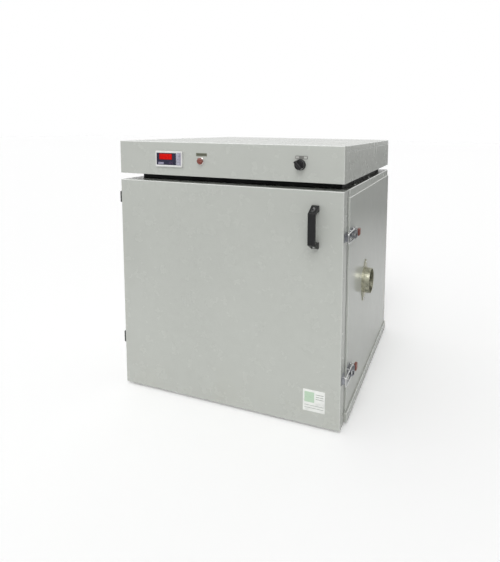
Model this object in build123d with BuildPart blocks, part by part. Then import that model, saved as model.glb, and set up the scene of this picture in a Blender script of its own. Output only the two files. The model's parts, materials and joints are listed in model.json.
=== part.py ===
from build123d import *
from math import cos, radians, sin
import os

os.makedirs("parts", exist_ok=True)

# A bench drying oven: an insulated cabinet with a side-hinged door, a flat control header above it,
# two hook latches on the right side and an eared exhaust spigot in the right wall.
# Millimetres, X to the right, Y to the back, Z up, origin on the floor under the middle of the oven's plan.

# Overall size
oven_width = 760.0
oven_depth = 745.0
foot_height = 8.0
cabinet_height = 704.0
plinth_height = 21.0
header_height = 106.0
sheet = 1.5

# Cabinet casing
base_height = 28.0
ledge_out = 9.0
ledge_edge = 1.2
base_flange = 24.0
foot_inset = 26.0
foot_bar = 34.0
foot_corner = 14.0
cover_raise = 4.0
cover_setback = 8.0
cover_top_drop = 23.0
cover_edge = 2.0
back_recess = 3.0
shell_corner = 2.5
plinth_side_inset = 27.0
plinth_front_inset = 79.5
plinth_back_inset = 74.5
plinth_flange = 14.0
top_screw_inset = 13.0
top_screw_spacing = 219.0
top_screw_shift = -83.0

# Heated chamber
chamber_width = 560.0
chamber_roof = 100.0
chamber_depth = 570.0
chamber_rise = 104.0
chamber_wall = 1.5
chamber_corner = 8.0

# Door
door_thickness = 42.0
door_gap = 6.0
door_edge = 2.0
door_flange = 18.0
plug_clearance = 8.0
plug_depth = 30.0
plug_corner = 8.0
pan_sheet = 1.5
pan_inset = 4.0
gasket_width = 16.0
gasket_margin = 14.0
seal_gap = 0.3

# Handle
handle_x = 298.0
handle_drop = 104.0
handle_length = 124.0
handle_width = 22.0
handle_reach = 40.0
handle_bar = 11.0
handle_slope = 17.0
handle_foot = 8.0
handle_leg = 18.0
handle_screw_pitch = 107.0
handle_screw_r = 3.0
handle_head_r = 5.0
handle_rounding = 2.5
handle_seat = 12.0
handle_nut = 5.0

# Hinges
hinge_offset = 14.0
hinge_upper_drop = 62.0
hinge_lower_rise = 152.0
hinge_height = 36.0
knuckle_r = 7.0
knuckle_gap = 0.3
hinge_pin_r = 2.5
running_gap = 0.05
leaf_thickness = 2.5
leaf_length = 34.0
leaf_arm = 3.6
hinge_screw_pitch = 20.0

# Pan-head screws used on the casing, hinges, latches and spigot
screw_r = 1.75
screw_head_r = 3.6
screw_head = 2.2
screw_gap = 0.15

# Hook latches
latch_upper_drop = 132.0
latch_lower_rise = 150.0
latch_pivot_back = 20.5
latch_pivot_out = 12.0
latch_base_half = 15.5
latch_base_front = 12.0
latch_base_back = 30.0
latch_plate = 2.5
ear_r = 6.0
ear_inner = 5.5
ear_sheet = 2.0
lever_gap = 0.3
lever_sheet = 2.0
lever_rim = 1.0
lever_web_start = 12.0
web_level = 4.0
grip_tip = 3.0
hook_pivot_back = 16.0
hook_pivot_drop = 2.5
trunnion_r = 4.0
hook_rod_r = 2.5
hook_half = 14.0
hook_bend = 5.0
hook_tail = 9.0
hook_nut_r = 4.4
hook_nut = 3.5
hook_seat_gap = 0.35
crossbar_inset = 7.0
latch_pin_r = 2.5
lever_web = 2.0
lever_end = 22.0
grip_start = 27.0
grip_length = 20.0
grip_half = 10.5
grip_thickness = 9.0
grip_rounding = 3.0
keeper_half = 13.0
keeper_lip_half = 9.0
keeper_height = 17.0
keeper_length = 27.0

# Exhaust spigot
port_y = -91.5
port_share = 0.524
port_tilt = 16.0
spigot_r = 42.0
spigot_wall = 2.0
spigot_length = 25.0
spigot_bead = 1.4
spigot_bead_x = 8.0
flange_sheet = 2.5
flange_r = 47.0
ear_reach = 60.0
flange_ear_r = 9.5
bore_gap = 0.3

# Shelves and their runners
shelf_lower_share = 0.276
shelf_upper_share = 0.7
shelf_side_gap = 8.0
shelf_rim_r = 3.0
shelf_rod_r = 1.75
shelf_rod_count = 15
shelf_corner = 16.0
shelf_front = 32.0
shelf_length = 440.0
shelf_lift = 0.3
shelf_play = 0.5
runner_post_width = 24.0
runner_post_depth = 6.0
runner_post_pitch = 352.0
runner_post_end = 34.0
runner_ledge = 16.0
runner_sheet = 1.5
runner_wall = 12.0

# Air circulation and heat
plenum_depth = 62.0
baffle_side_gap = 32.0
baffle_end_gap = 12.0
baffle_slot_count = 12
baffle_slot_r = 3.5
baffle_slot_inner = 34.0
baffle_slot_outer = 70.0
fan_r = 88.0
fan_hub_r = 15.0
fan_blade = 26.0
fan_blade_count = 8
fan_sheet = 1.5
shaft_r = 4.0
motor_r = 42.0
motor_length = 62.0
motor_shaft_depth = 14.0
motor_flange = 55.0
motor_recess = 75.0
motor_recess_gap = 8.0
motor_edge = 4.0
motor_slot_count = 16
motor_slot_r = 64.0
motor_slot_length = 14.0
fan_back_gap = 8.0
heater_ring_r = 112.0
heater_r = 4.0
ferrule_r = 5.5
heater_arc = 320.0
heater_leg = 60.0
probe_r = 3.0
probe_drop = 88.0
probe_x = 190.0
probe_y = 150.0
probe_nut_r = 8.0
probe_nut = 6.0
probe_rise = 60.0

# Header box
front_panel_depth = 28.0
panel_edge = 2.5
lid_flange = 16.0
lid_seam = 2.0
seam_groove = 0.5
lip_height = 13.0
vent_slot_count = 8
vent_slot_length = 46.0
vent_slot_r = 2.0
vent_slot_pitch = 11.0
vent_slot_x = 230.0

# Panel fittings
controller_x = -188.0
controller_rise = 52.0
bezel_width = 98.0
bezel_height = 50.0
bezel_depth = 6.0
bezel_corner = 3.0
body_width = 91.0
body_height = 44.0
body_depth = 62.0
window_width = 73.0
window_height = 38.0
window_shift = -8.0
window_sheet = 1.5
key_count = 4
key_width = 11.0
key_height = 7.0
key_pitch = 9.2
key_shift = 37.0
key_depth = 5.0
key_proud = 1.6
key_travel = 0.8
key_gap = 0.3
lamp_x = -75.0
lamp_rise = 49.0
lamp_ring_r = 12.0
lamp_ring = 4.0
lamp_barrel_r = 8.0
lamp_barrel = 30.0
lens_r = 8.2
lens_height = 8.0
lens_seat = 2.5
selector_x = 251.0
selector_rise = 50.0
selector_ring_r = 16.0
selector_ring = 4.0
selector_barrel_r = 11.0
selector_barrel = 38.0
knob_r = 14.5
knob_disc = 8.0
knob_wing = 8.0
knob_wing_height = 14.0
knob_shaft_r = 4.0
knob_angle = 42.0
knob_line = 1.6
knob_line_start = 2.0
knob_gap = 0.3
knob_shaft = 20.0
gland_x = -300.0
gland_rise = 35.0
gland_hex_r = 17.0
gland_hex = 8.0
gland_dome_r = 13.0
gland_dome = 20.0
gland_bore_r = 6.0
gland_thread_r = 12.0
gland_rounding = 4.0
relay_x = 60.0
relay_y = 40.0
relay_width = 90.0
relay_depth = 80.0
relay_base = 6.0
relay_height = 44.0
relay_fin = 2.0
relay_fin_pitch = 9.8
relay_fin_count = 9

# Planes that follow from the sizes above
half_width = oven_width / 2
front_y = -oven_depth / 2
back_y = oven_depth / 2
cabinet_top = foot_height + cabinet_height
header_bottom = cabinet_top + plinth_height
header_top = header_bottom + header_height
base_top = foot_height + base_height
door_back = front_y + door_thickness
cabinet_front = door_back + door_gap
cabinet_depth = back_y - cabinet_front
cabinet_mid_y = (cabinet_front + back_y) / 2
chamber_floor = foot_height + chamber_rise
chamber_top = cabinet_top - chamber_roof
chamber_height = chamber_top - chamber_floor
chamber_mid_z = (chamber_floor + chamber_top) / 2
chamber_half = chamber_width / 2
chamber_front = cabinet_front + sheet
chamber_back = chamber_front + chamber_depth
cover_face = half_width + cover_raise
cover_front = cabinet_front + cover_setback
cover_top = cabinet_top - cover_top_drop
back_inner = back_y - back_recess - sheet
latch_pivot_y = cabinet_front + latch_pivot_back
latch_heights = {"upper": cabinet_top - latch_upper_drop, "lower": foot_height + latch_lower_rise}
hinge_heights = {"upper": cabinet_top - hinge_upper_drop, "lower": foot_height + hinge_lower_rise}
handle_z = cabinet_top - handle_drop
port_z = chamber_floor + port_share * chamber_height
controller_z = header_bottom + controller_rise
lamp_z = header_bottom + lamp_rise
selector_z = header_bottom + selector_rise
gland_z = header_bottom + gland_rise
hinge_x = -half_width - hinge_offset
hinge_y = (front_y + door_back) / 2

low = (Align.CENTER, Align.CENTER, Align.MIN)
high = (Align.CENTER, Align.CENTER, Align.MAX)


def facing_front(x, y, z):
    """A plane at a point, looking out of the front: its own X is right, its own Y is up."""
    return Plane((x, y, z), x_dir=(1, 0, 0), z_dir=(0, -1, 0))


def facing_right(x, y, z):
    """A plane at a point, looking out of the right side: its own X runs back, its own Y is up."""
    return Plane((x, y, z), x_dir=(0, 1, 0), z_dir=(1, 0, 0))


def facing_left(x, y, z):
    """A plane at a point, looking out of the left side: its own X runs forward, its own Y is up."""
    return Plane((x, y, z), x_dir=(0, -1, 0), z_dir=(-1, 0, 0))


def facing_back(x, y, z):
    """A plane at a point, looking out of the back: its own X is left, its own Y is up."""
    return Plane((x, y, z), x_dir=(-1, 0, 0), z_dir=(0, 1, 0))


# Screw places, each a plane on the face that the screw head rests on
latch_screw_back = (latch_base_back + trunnion_r + hook_pivot_back) / 2
latch_screw_places = [
    facing_right(cover_face + latch_plate, latch_pivot_y + run, z + side * (latch_base_half - screw_head_r - 1))
    for z in latch_heights.values()
    for run in (screw_head_r + 0.5 - latch_base_front, latch_screw_back)
    for side in (-1, 1)
]
leaf_mid_y = cover_front + leaf_thickness + leaf_length / 2
hinge_screw_places = [
    facing_left(-cover_face - leaf_thickness, leaf_mid_y + run, z)
    for z in hinge_heights.values()
    for run in (-hinge_screw_pitch / 2, hinge_screw_pitch / 2)
]
port_up = Vector(0, sin(radians(port_tilt)), cos(radians(port_tilt)))
port_side = (0, cos(radians(port_tilt)), -sin(radians(port_tilt)))
port_centre = Vector(cover_face, port_y, port_z)
port_plane = Plane(port_centre, x_dir=port_side, z_dir=(1, 0, 0))
port_screw_places = [
    Plane(port_centre + Vector(flange_sheet, 0, 0) + port_up * side * ear_reach, x_dir=port_side, z_dir=(1, 0, 0))
    for side in (-1, 1)
]
top_screw_places = [
    Plane((side * (half_width - top_screw_inset), top_screw_shift + end * top_screw_spacing / 2, cabinet_top))
    for side in (-1, 1)
    for end in (-1, 1)
]
side_screw_length = leaf_thickness + cover_raise + sheet

crossbar_y = front_y + crossbar_inset
keeper_lip_y = crossbar_y + hook_rod_r + hook_seat_gap
keeper_screw_places = [
    facing_right(half_width + latch_plate, keeper_lip_y + keeper_length * share, z)
    for z in latch_heights.values()
    for share in (0.42, 0.8)
]
door_hinge_screw_places = [
    facing_left(-half_width - leaf_thickness, hinge_y + run, z)
    for z in hinge_heights.values()
    for run in (-hinge_screw_pitch / 2, hinge_screw_pitch / 2)
]
door_screw_length = leaf_thickness + sheet


def add_screws(places, length):
    """Adds a pan-head screw at each place, head outside and shank inwards."""
    with Locations(*places):
        Cylinder(screw_head_r, screw_head, align=low)
        Cylinder(screw_r, length, align=high)


def cut_screw_holes(places, length):
    """Cuts a clearance hole for the screw at each place."""
    with Locations(*places):
        Cylinder(screw_r + screw_gap, length + 1, align=high, mode=Mode.SUBTRACT)


# Foot frame: a low flat-bar frame set in under the base
with BuildPart() as foot_frame:
    with BuildSketch():
        with Locations((0, cabinet_mid_y)):
            RectangleRounded(oven_width - 2 * foot_inset, cabinet_depth - 2 * foot_inset, foot_corner)
            Rectangle(
                oven_width - 2 * foot_inset - 2 * foot_bar,
                cabinet_depth - 2 * foot_inset - 2 * foot_bar,
                mode=Mode.SUBTRACT,
            )
    extrude(amount=foot_height)
foot_frame.part.label = "foot_frame"
export_step(foot_frame.part, "parts/foot_frame.step")

# Base tray: folded pan whose sides stand out as a ledge, with a return flange that carries the casing
with BuildPart() as base_tray:
    with Locations((0, cabinet_mid_y, foot_height)):
        Box(oven_width + 2 * ledge_out, cabinet_depth, base_height, align=low)
    fillet(base_tray.faces().sort_by(Axis.Z)[-1].edges().filter_by(Axis.Y), ledge_edge)
    with Locations((0, cabinet_mid_y, foot_height + sheet)):
        Box(
            oven_width + 2 * ledge_out - 2 * sheet, cabinet_depth - 2 * sheet, base_height - 2 * sheet,
            align=low, mode=Mode.SUBTRACT,
        )
        Box(
            oven_width - 2 * base_flange, cabinet_depth - 2 * base_flange, base_height,
            align=low, mode=Mode.SUBTRACT,
        )
base_tray.part.label = "base_tray"
export_step(base_tray.part, "parts/base_tray.step")

# Casing wrap: left side, top and right side folded from one sheet
with BuildPart() as casing_wrap:
    with BuildSketch(facing_front(0, back_y, 0)):
        with Locations((0, (base_top + cabinet_top) / 2)):
            Rectangle(oven_width, cabinet_top - base_top)
        fillet(vertices().group_by(Axis.Y)[-1], shell_corner)
        with Locations((0, (base_top + cabinet_top) / 2 - sheet)):
            Rectangle(oven_width - 2 * sheet, cabinet_top - base_top, mode=Mode.SUBTRACT)
    extrude(amount=back_y - chamber_front)
    with Locations(facing_right(chamber_half, port_y, port_z)):
        Cylinder(spigot_r + bore_gap, half_width, align=low, mode=Mode.SUBTRACT)
    cut_screw_holes(latch_screw_places + hinge_screw_places + port_screw_places, side_screw_length)
    cut_screw_holes(top_screw_places, sheet)
casing_wrap.part.label = "casing_wrap"
export_step(casing_wrap.part, "parts/casing_wrap.step")

# Side covers: shallow raised pans over each side of the casing
for side_name, side in (("left", -1), ("right", 1)):
    with BuildPart() as side_cover:
        with BuildSketch(facing_right(side * half_width, 0, 0)):
            with Locations(((cover_front + back_y) / 2, (base_top + cover_top) / 2)):
                Rectangle(back_y - cover_front, cover_top - base_top)
        extrude(amount=side * cover_raise)
        outer_face = side_cover.faces().sort_by(Axis.X)[-1 if side > 0 else 0]
        fillet(outer_face.edges(), cover_edge)
        inner_face = side_cover.faces().sort_by(Axis.X)[0 if side > 0 else -1]
        offset(amount=-sheet, openings=inner_face)
        if side > 0:
            with Locations(facing_right(chamber_half, port_y, port_z)):
                Cylinder(spigot_r + bore_gap, half_width, align=low, mode=Mode.SUBTRACT)
            cut_screw_holes(latch_screw_places + port_screw_places, side_screw_length)
        else:
            cut_screw_holes(hinge_screw_places, side_screw_length)
    side_cover.part.label = f"side_cover_{side_name}"
    export_step(side_cover.part, f"parts/side_cover_{side_name}.step")

# Front frame: the face plate round the chamber mouth
with BuildPart() as front_frame:
    with BuildSketch(facing_front(0, chamber_front, 0)):
        with Locations((0, (base_top + cabinet_top) / 2)):
            Rectangle(oven_width, cabinet_top - base_top)
        fillet(vertices().group_by(Axis.Y)[-1], shell_corner)
        with Locations((0, chamber_mid_z)):
            RectangleRounded(chamber_width, chamber_height, chamber_corner - chamber_wall, mode=Mode.SUBTRACT)
    extrude(amount=sheet)
front_frame.part.label = "front_frame"
export_step(front_frame.part, "parts/front_frame.step")

# Chamber: bright inner tank, open to the front, with bores for the spigot, the fan shaft, the heater and the probe
heater_y = chamber_back - plenum_depth / 2
heater_half_turn = radians(heater_arc / 2)
heater_leg_x = heater_ring_r * sin(heater_half_turn)
heater_leg_z = chamber_mid_z + heater_ring_r * cos(heater_half_turn)
with BuildPart() as chamber:
    with BuildSketch(facing_front(0, chamber_back + chamber_wall, 0)):
        with Locations((0, chamber_mid_z)):
            RectangleRounded(chamber_width + 2 * chamber_wall, chamber_height + 2 * chamber_wall, chamber_corner)
    extrude(amount=chamber_depth + chamber_wall)
    offset(amount=-chamber_wall, openings=chamber.faces().sort_by(Axis.Y)[0])
    with Locations(facing_right(0, port_y, port_z)):
        Cylinder(spigot_r + bore_gap, half_width, align=low, mode=Mode.SUBTRACT)
    with Locations(facing_back(0, chamber_back - 1, chamber_mid_z)):
        Cylinder(shaft_r + bore_gap, chamber_wall + 2, align=low, mode=Mode.SUBTRACT)
    with Locations(*[facing_back(side * heater_leg_x, chamber_back - 1, heater_leg_z) for side in (-1, 1)]):
        Cylinder(ferrule_r + bore_gap, chamber_wall + 2, align=low, mode=Mode.SUBTRACT)
    with Locations((probe_x, probe_y, chamber_top - 1)):
        Cylinder(probe_r + bore_gap, chamber_wall + 2, align=low, mode=Mode.SUBTRACT)
chamber.part.label = "chamber"
export_step(chamber.part, "parts/chamber.step")

# Insulation: mineral wool that fills the space between the chamber and the casing
motor_front = back_inner - motor_length
with BuildPart() as insulation:
    with BuildSketch(facing_front(0, back_inner, 0)):
        with Locations((0, (base_top + cabinet_top - sheet) / 2)):
            Rectangle(oven_width - 2 * sheet, cabinet_top - sheet - base_top)
    extrude(amount=back_inner - chamber_front)
    with BuildSketch(facing_front(0, chamber_back + chamber_wall, 0)):
        with Locations((0, chamber_mid_z)):
            RectangleRounded(chamber_width + 2 * chamber_wall, chamber_height + 2 * chamber_wall, chamber_corner)
    extrude(amount=chamber_depth + chamber_wall, mode=Mode.SUBTRACT)
    with Locations(facing_right(chamber_half, port_y, port_z)):
        Cylinder(spigot_r + bore_gap, half_width, align=low, mode=Mode.SUBTRACT)
    with Locations(facing_back(0, chamber_back, chamber_mid_z)):
        Cylinder(shaft_r + bore_gap, cabinet_depth, align=low, mode=Mode.SUBTRACT)
    with Locations(*[facing_back(side * heater_leg_x, chamber_back, heater_leg_z) for side in (-1, 1)]):
        Cylinder(ferrule_r + bore_gap, cabinet_depth, align=low, mode=Mode.SUBTRACT)
    with BuildSketch(facing_front(0, back_inner, 0)):
        with Locations((0, chamber_mid_z)):
            Rectangle(2 * motor_recess, 2 * motor_recess)
    extrude(amount=motor_length + motor_recess_gap, mode=Mode.SUBTRACT)
    with Locations((probe_x, probe_y, chamber_top)):
        Cylinder(probe_r + bore_gap, oven_depth, align=low, mode=Mode.SUBTRACT)
insulation.part.label = "insulation"
export_step(insulation.part, "parts/insulation.step")

# Back panel: flat sheet with cooling slots over the motor recess
with BuildPart() as back_panel:
    with BuildSketch(facing_front(0, back_inner + sheet, 0)):
        with Locations((0, (base_top + cabinet_top - sheet) / 2)):
            Rectangle(oven_width - 2 * sheet, cabinet_top - sheet - base_top)
        with Locations((0, chamber_mid_z)):
            with PolarLocations(motor_slot_r, motor_slot_count):
                SlotOverall(motor_slot_length, 2 * vent_slot_r, rotation=90, mode=Mode.SUBTRACT)
    extrude(amount=sheet)
back_panel.part.label = "back_panel"
export_step(back_panel.part, "parts/back_panel.step")

# Shelf runners: on each wall two posts that carry an angle ledge under each shelf
shelf_heights = {
    "lower": chamber_floor + shelf_lower_share * chamber_height,
    "upper": chamber_floor + shelf_upper_share * chamber_height,
}
shelf_half = chamber_half - shelf_side_gap
shelf_front_y = chamber_front + plug_depth + shelf_front
shelf_mid_y = shelf_front_y + shelf_length / 2
for side_name, side in (("left", -1), ("right", 1)):
    with BuildPart() as shelf_runner:
        with BuildSketch(facing_right(side * chamber_half, 0, 0)):
            with Locations((shelf_mid_y, chamber_mid_z)):
                with GridLocations(runner_post_pitch, 1, 2, 1):
                    Rectangle(runner_post_width, chamber_height - 2 * runner_post_end)
        extrude(amount=-side * runner_post_depth)
        for shelf_z in shelf_heights.values():
            ledge_top = shelf_z - shelf_rim_r - shelf_lift
            with BuildSketch(facing_front(0, shelf_mid_y + shelf_length / 2, 0)):
                with BuildLine():
                    wall_x = side * (chamber_half - runner_post_depth)
                    Polyline(
                        (wall_x, ledge_top),
                        (wall_x - side * runner_ledge, ledge_top),
                        (wall_x - side * runner_ledge, ledge_top - runner_sheet),
                        (wall_x - side * runner_sheet, ledge_top - runner_sheet),
                        (wall_x - side * runner_sheet, ledge_top - runner_wall),
                        (wall_x, ledge_top - runner_wall),
                        close=True,
                    )
                make_face()
            extrude(amount=shelf_length)
    shelf_runner.part.label = f"shelf_runner_{side_name}"
    export_step(shelf_runner.part, f"parts/shelf_runner_{side_name}.step")

# Shelves: a round-cornered rim rod with thin rods laid across it
rim_x = shelf_half - shelf_rim_r - shelf_play
rim_y = shelf_length / 2 - shelf_rim_r
for shelf_name, shelf_z in shelf_heights.items():
    with BuildPart() as shelf:
        with BuildLine(Plane((0, shelf_mid_y, shelf_z))):
            FilletPolyline((0, -rim_y), (rim_x, -rim_y), (rim_x, rim_y), (0, rim_y), radius=shelf_corner)
            FilletPolyline((0, rim_y), (-rim_x, rim_y), (-rim_x, -rim_y), (0, -rim_y), radius=shelf_corner)
        with BuildSketch(facing_right(0, shelf_mid_y - rim_y, shelf_z)):
            Circle(shelf_rim_r)
        sweep()
        with BuildSketch(facing_front(0, shelf_mid_y + rim_y, shelf_z)):
            with GridLocations(2 * (rim_x - shelf_corner) / (shelf_rod_count - 1), 1, shelf_rod_count, 1):
                Circle(shelf_rod_r)
        extrude(amount=2 * rim_y)
        with Locations(facing_right(-rim_x, shelf_mid_y, shelf_z)):
            Cylinder(shelf_rod_r, 2 * rim_x, align=low)
    shelf.part.label = f"shelf_{shelf_name}"
    export_step(shelf.part, f"parts/shelf_{shelf_name}.step")

# Air baffle: flanged plate in front of the fan, with a ring of intake slots
baffle_y = chamber_back - plenum_depth
with BuildPart() as air_baffle:
    with BuildSketch(facing_front(0, chamber_back, 0)):
        with Locations((0, chamber_mid_z)):
            Rectangle(chamber_width - 2 * baffle_side_gap, chamber_height - 2 * baffle_end_gap)
            Rectangle(
                chamber_width,
                chamber_height - 2 * baffle_end_gap - 2 * sheet,
                mode=Mode.SUBTRACT,
            )
    extrude(amount=plenum_depth)
    with BuildSketch(facing_front(0, baffle_y + sheet, 0)):
        with Locations((0, chamber_mid_z)):
            Rectangle(chamber_width - 2 * baffle_side_gap, chamber_height - 2 * baffle_end_gap)
            with PolarLocations((baffle_slot_inner + baffle_slot_outer) / 2, baffle_slot_count):
                SlotOverall(baffle_slot_outer - baffle_slot_inner, 2 * baffle_slot_r, mode=Mode.SUBTRACT)
    extrude(amount=sheet)
air_baffle.part.label = "air_baffle"
export_step(air_baffle.part, "parts/air_baffle.step")

# Heater: a tube bent into a ring round the fan, its two ends led out through the back wall
with BuildPart() as heater_element:
    ring_start = Plane(
        (-heater_leg_x, heater_y, heater_leg_z),
        x_dir=(0, 1, 0),
        z_dir=(-cos(heater_half_turn), 0, sin(heater_half_turn)),
    )
    with BuildSketch(ring_start):
        Circle(heater_r)
    revolve(axis=Axis((0, heater_y, chamber_mid_z), (0, 1, 0)), revolution_arc=heater_arc)
    with Locations(*[facing_back(side * heater_leg_x, heater_y - ferrule_r, heater_leg_z) for side in (-1, 1)]):
        Cylinder(ferrule_r, heater_leg, align=low)
heater_element.part.label = "heater_element"
export_step(heater_element.part, "parts/heater_element.step")

# Fan wheel: radial blades on a back plate, with the shaft that runs out through the wall to the motor
fan_back_y = chamber_back - fan_back_gap
with BuildPart() as fan_wheel:
    with Locations(facing_front(0, fan_back_y, chamber_mid_z)):
        Cylinder(fan_r, fan_sheet, align=low)
        Cylinder(fan_hub_r, fan_blade, align=low)
    with BuildSketch(facing_front(0, fan_back_y - fan_sheet, chamber_mid_z)):
        with PolarLocations((fan_r + fan_hub_r) / 2, fan_blade_count):
            Rectangle(fan_r - fan_hub_r + fan_sheet, fan_sheet)
    extrude(amount=fan_blade - fan_sheet)
    with Locations(facing_back(0, fan_back_y - fan_blade, chamber_mid_z)):
        Cylinder(shaft_r, motor_front + motor_shaft_depth - fan_back_y + fan_blade, align=low)
fan_wheel.part.label = "fan_wheel"
export_step(fan_wheel.part, "parts/fan_wheel.step")

# Fan motor: flanged to the back panel, with a blind bore for the shaft
with BuildPart() as fan_motor:
    with Locations(facing_front(0, back_inner, chamber_mid_z)):
        Cylinder(motor_flange, 3 * sheet, align=low)
        Cylinder(motor_r, motor_length, align=low)
    fillet(fan_motor.faces().sort_by(Axis.Y)[0].edges(), motor_edge)
    with Locations(facing_back(0, motor_front - 1, chamber_mid_z)):
        Cylinder(shaft_r + running_gap, motor_shaft_depth + 3, align=low, mode=Mode.SUBTRACT)
fan_motor.part.label = "fan_motor"
export_step(fan_motor.part, "parts/fan_motor.step")

# Temperature probe: rod through the chamber roof with its fixing nut
with BuildPart() as temperature_probe:
    with Locations((probe_x, probe_y, chamber_top - probe_drop)):
        Cylinder(probe_r, probe_drop + probe_rise, align=low)
    with BuildSketch(Plane((probe_x, probe_y, chamber_top - probe_nut))):
        RegularPolygon(probe_nut_r, 6)
    extrude(amount=probe_nut)
temperature_probe.part.label = "temperature_probe"
export_step(temperature_probe.part, "parts/temperature_probe.step")

# Exhaust spigot: tube through the right wall, fixed outside by a flange with two ears
with BuildPart() as exhaust_spigot:
    with BuildSketch(port_plane):
        Circle(flange_r)
        with Locations((0, ear_reach), (0, -ear_reach)):
            Circle(flange_ear_r)
        make_hull()
        with Locations((0, ear_reach), (0, -ear_reach)):
            Circle(screw_r + screw_gap, mode=Mode.SUBTRACT)
    extrude(amount=flange_sheet)
    with Locations(facing_right(chamber_half, port_y, port_z)):
        Cylinder(spigot_r, cover_face + spigot_length - chamber_half, align=low)
    with Locations(facing_right(cover_face + spigot_bead_x, port_y, port_z)):
        Torus(spigot_r, spigot_bead)
    with Locations(facing_right(chamber_half - 1, port_y, port_z)):
        Cylinder(spigot_r - spigot_wall, oven_width, align=low, mode=Mode.SUBTRACT)
exhaust_spigot.part.label = "exhaust_spigot"
export_step(exhaust_spigot.part, "parts/exhaust_spigot.step")

# Casing screws: the same pan-head screw at the latches, hinges, spigot ears and casing top
with BuildPart() as casing_screws:
    add_screws(latch_screw_places + hinge_screw_places + port_screw_places, side_screw_length)
    add_screws(top_screw_places, sheet)
casing_screws.part.label = "casing_screws"
export_step(casing_screws.part, "parts/casing_screws.step")

# Hinges: a casing leaf with the middle knuckle, a door leaf with the outer two, and a pin through all three
middle_knuckle = hinge_height / 3
for level, hinge_z in hinge_heights.items():
    with BuildPart() as casing_leaf:
        with BuildSketch(Plane.XY.offset(hinge_z)):
            with BuildLine():
                Polyline(
                    (-cover_face, cover_front + leaf_thickness),
                    (hinge_x + leaf_arm / 2, hinge_y),
                    (hinge_x - leaf_arm / 2, hinge_y),
                    (-cover_face - leaf_thickness, cover_front + leaf_thickness),
                    close=True,
                )
            make_face()
            with Locations((hinge_x, hinge_y)):
                Circle(knuckle_r)
        extrude(amount=middle_knuckle / 2, both=True)
        with BuildSketch(facing_left(-cover_face, leaf_mid_y, hinge_z)):
            RectangleRounded(leaf_length, hinge_height, leaf_thickness)
        extrude(amount=leaf_thickness)
        with Locations((hinge_x, hinge_y, hinge_z)):
            Cylinder(hinge_pin_r, hinge_height, mode=Mode.SUBTRACT)
        cut_screw_holes(hinge_screw_places, side_screw_length)
    casing_leaf.part.label = f"hinge_casing_leaf_{level}"
    export_step(casing_leaf.part, f"parts/hinge_casing_leaf_{level}.step")

    with BuildPart() as door_leaf:
        with BuildSketch(Plane.XY.offset(hinge_z)):
            with Locations((hinge_x, hinge_y)):
                Circle(knuckle_r)
                Rectangle(hinge_offset, 2 * leaf_arm, align=(Align.MIN, Align.CENTER))
        extrude(amount=hinge_height / 2, both=True)
        with Locations((hinge_x, hinge_y, hinge_z)):
            Box(
                2 * (hinge_offset - leaf_thickness),
                door_thickness,
                middle_knuckle + 2 * knuckle_gap,
                mode=Mode.SUBTRACT,
            )
        with BuildSketch(facing_left(-half_width, hinge_y, hinge_z)):
            RectangleRounded(leaf_length, hinge_height, leaf_thickness)
        extrude(amount=leaf_thickness)
        with Locations((hinge_x, hinge_y, hinge_z)):
            Cylinder(hinge_pin_r + running_gap, 2 * hinge_height, mode=Mode.SUBTRACT)
        cut_screw_holes(door_hinge_screw_places, door_screw_length)
    door_leaf.part.label = f"hinge_door_leaf_{level}"
    export_step(door_leaf.part, f"parts/hinge_door_leaf_{level}.step")

with BuildPart() as hinge_pins:
    for hinge_z in hinge_heights.values():
        with Locations((hinge_x, hinge_y, hinge_z - hinge_height / 2)):
            Cylinder(hinge_pin_r, hinge_height + knuckle_gap, align=low)
        with Locations((hinge_x, hinge_y, hinge_z + hinge_height / 2 + knuckle_gap)):
            Cylinder(hinge_pin_r + leaf_thickness / 2, leaf_thickness / 2, align=low)
hinge_pins.part.label = "hinge_pins"
export_step(hinge_pins.part, "parts/hinge_pins.step")

# Door skin: deep outer pan with narrow flanges turned in at the back
with BuildPart() as door_skin:
    with Locations((0, (front_y + door_back) / 2, foot_height)):
        Box(oven_width, door_thickness, cabinet_height, align=low)
    fillet(door_skin.faces().sort_by(Axis.Y)[0].edges(), door_edge)
    offset(amount=-sheet, openings=door_skin.faces().sort_by(Axis.Y)[-1])
    with BuildSketch(facing_front(0, door_back, 0)):
        with Locations((0, foot_height + cabinet_height / 2)):
            Rectangle(oven_width, cabinet_height)
            Rectangle(oven_width - 2 * door_flange, cabinet_height - 2 * door_flange, mode=Mode.SUBTRACT)
    extrude(amount=sheet)
    with Locations(*[facing_back(handle_x, front_y - 1, handle_z + end * handle_screw_pitch / 2) for end in (-1, 1)]):
        Cylinder(handle_screw_r + screw_gap, sheet + 2, align=low, mode=Mode.SUBTRACT)
    cut_screw_holes(keeper_screw_places + door_hinge_screw_places, door_screw_length)
door_skin.part.label = "door_skin"
export_step(door_skin.part, "parts/door_skin.step")

# Door inner pan: closes the skin and steps into the chamber mouth as a plug
plug_width = chamber_width - 2 * plug_clearance
plug_height = chamber_height - 2 * plug_clearance
plug_back = door_back + pan_sheet + plug_depth
with BuildPart() as door_inner_pan:
    with BuildSketch(facing_front(0, door_back + pan_sheet, 0)):
        with Locations((0, foot_height + cabinet_height / 2)):
            Rectangle(oven_width - 2 * pan_inset, cabinet_height - 2 * pan_inset)
    extrude(amount=pan_sheet)
    with BuildSketch(facing_front(0, plug_back, 0)):
        with Locations((0, chamber_mid_z)):
            RectangleRounded(plug_width, plug_height, plug_corner)
    extrude(amount=plug_depth)
    fillet(door_inner_pan.faces().sort_by(Axis.Y)[-1].edges(), door_edge)
    with BuildSketch(facing_front(0, plug_back - pan_sheet, 0)):
        with Locations((0, chamber_mid_z)):
            RectangleRounded(
                plug_width - 2 * pan_sheet, plug_height - 2 * pan_sheet, plug_corner - pan_sheet
            )
    extrude(amount=plug_depth, mode=Mode.SUBTRACT)
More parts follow.
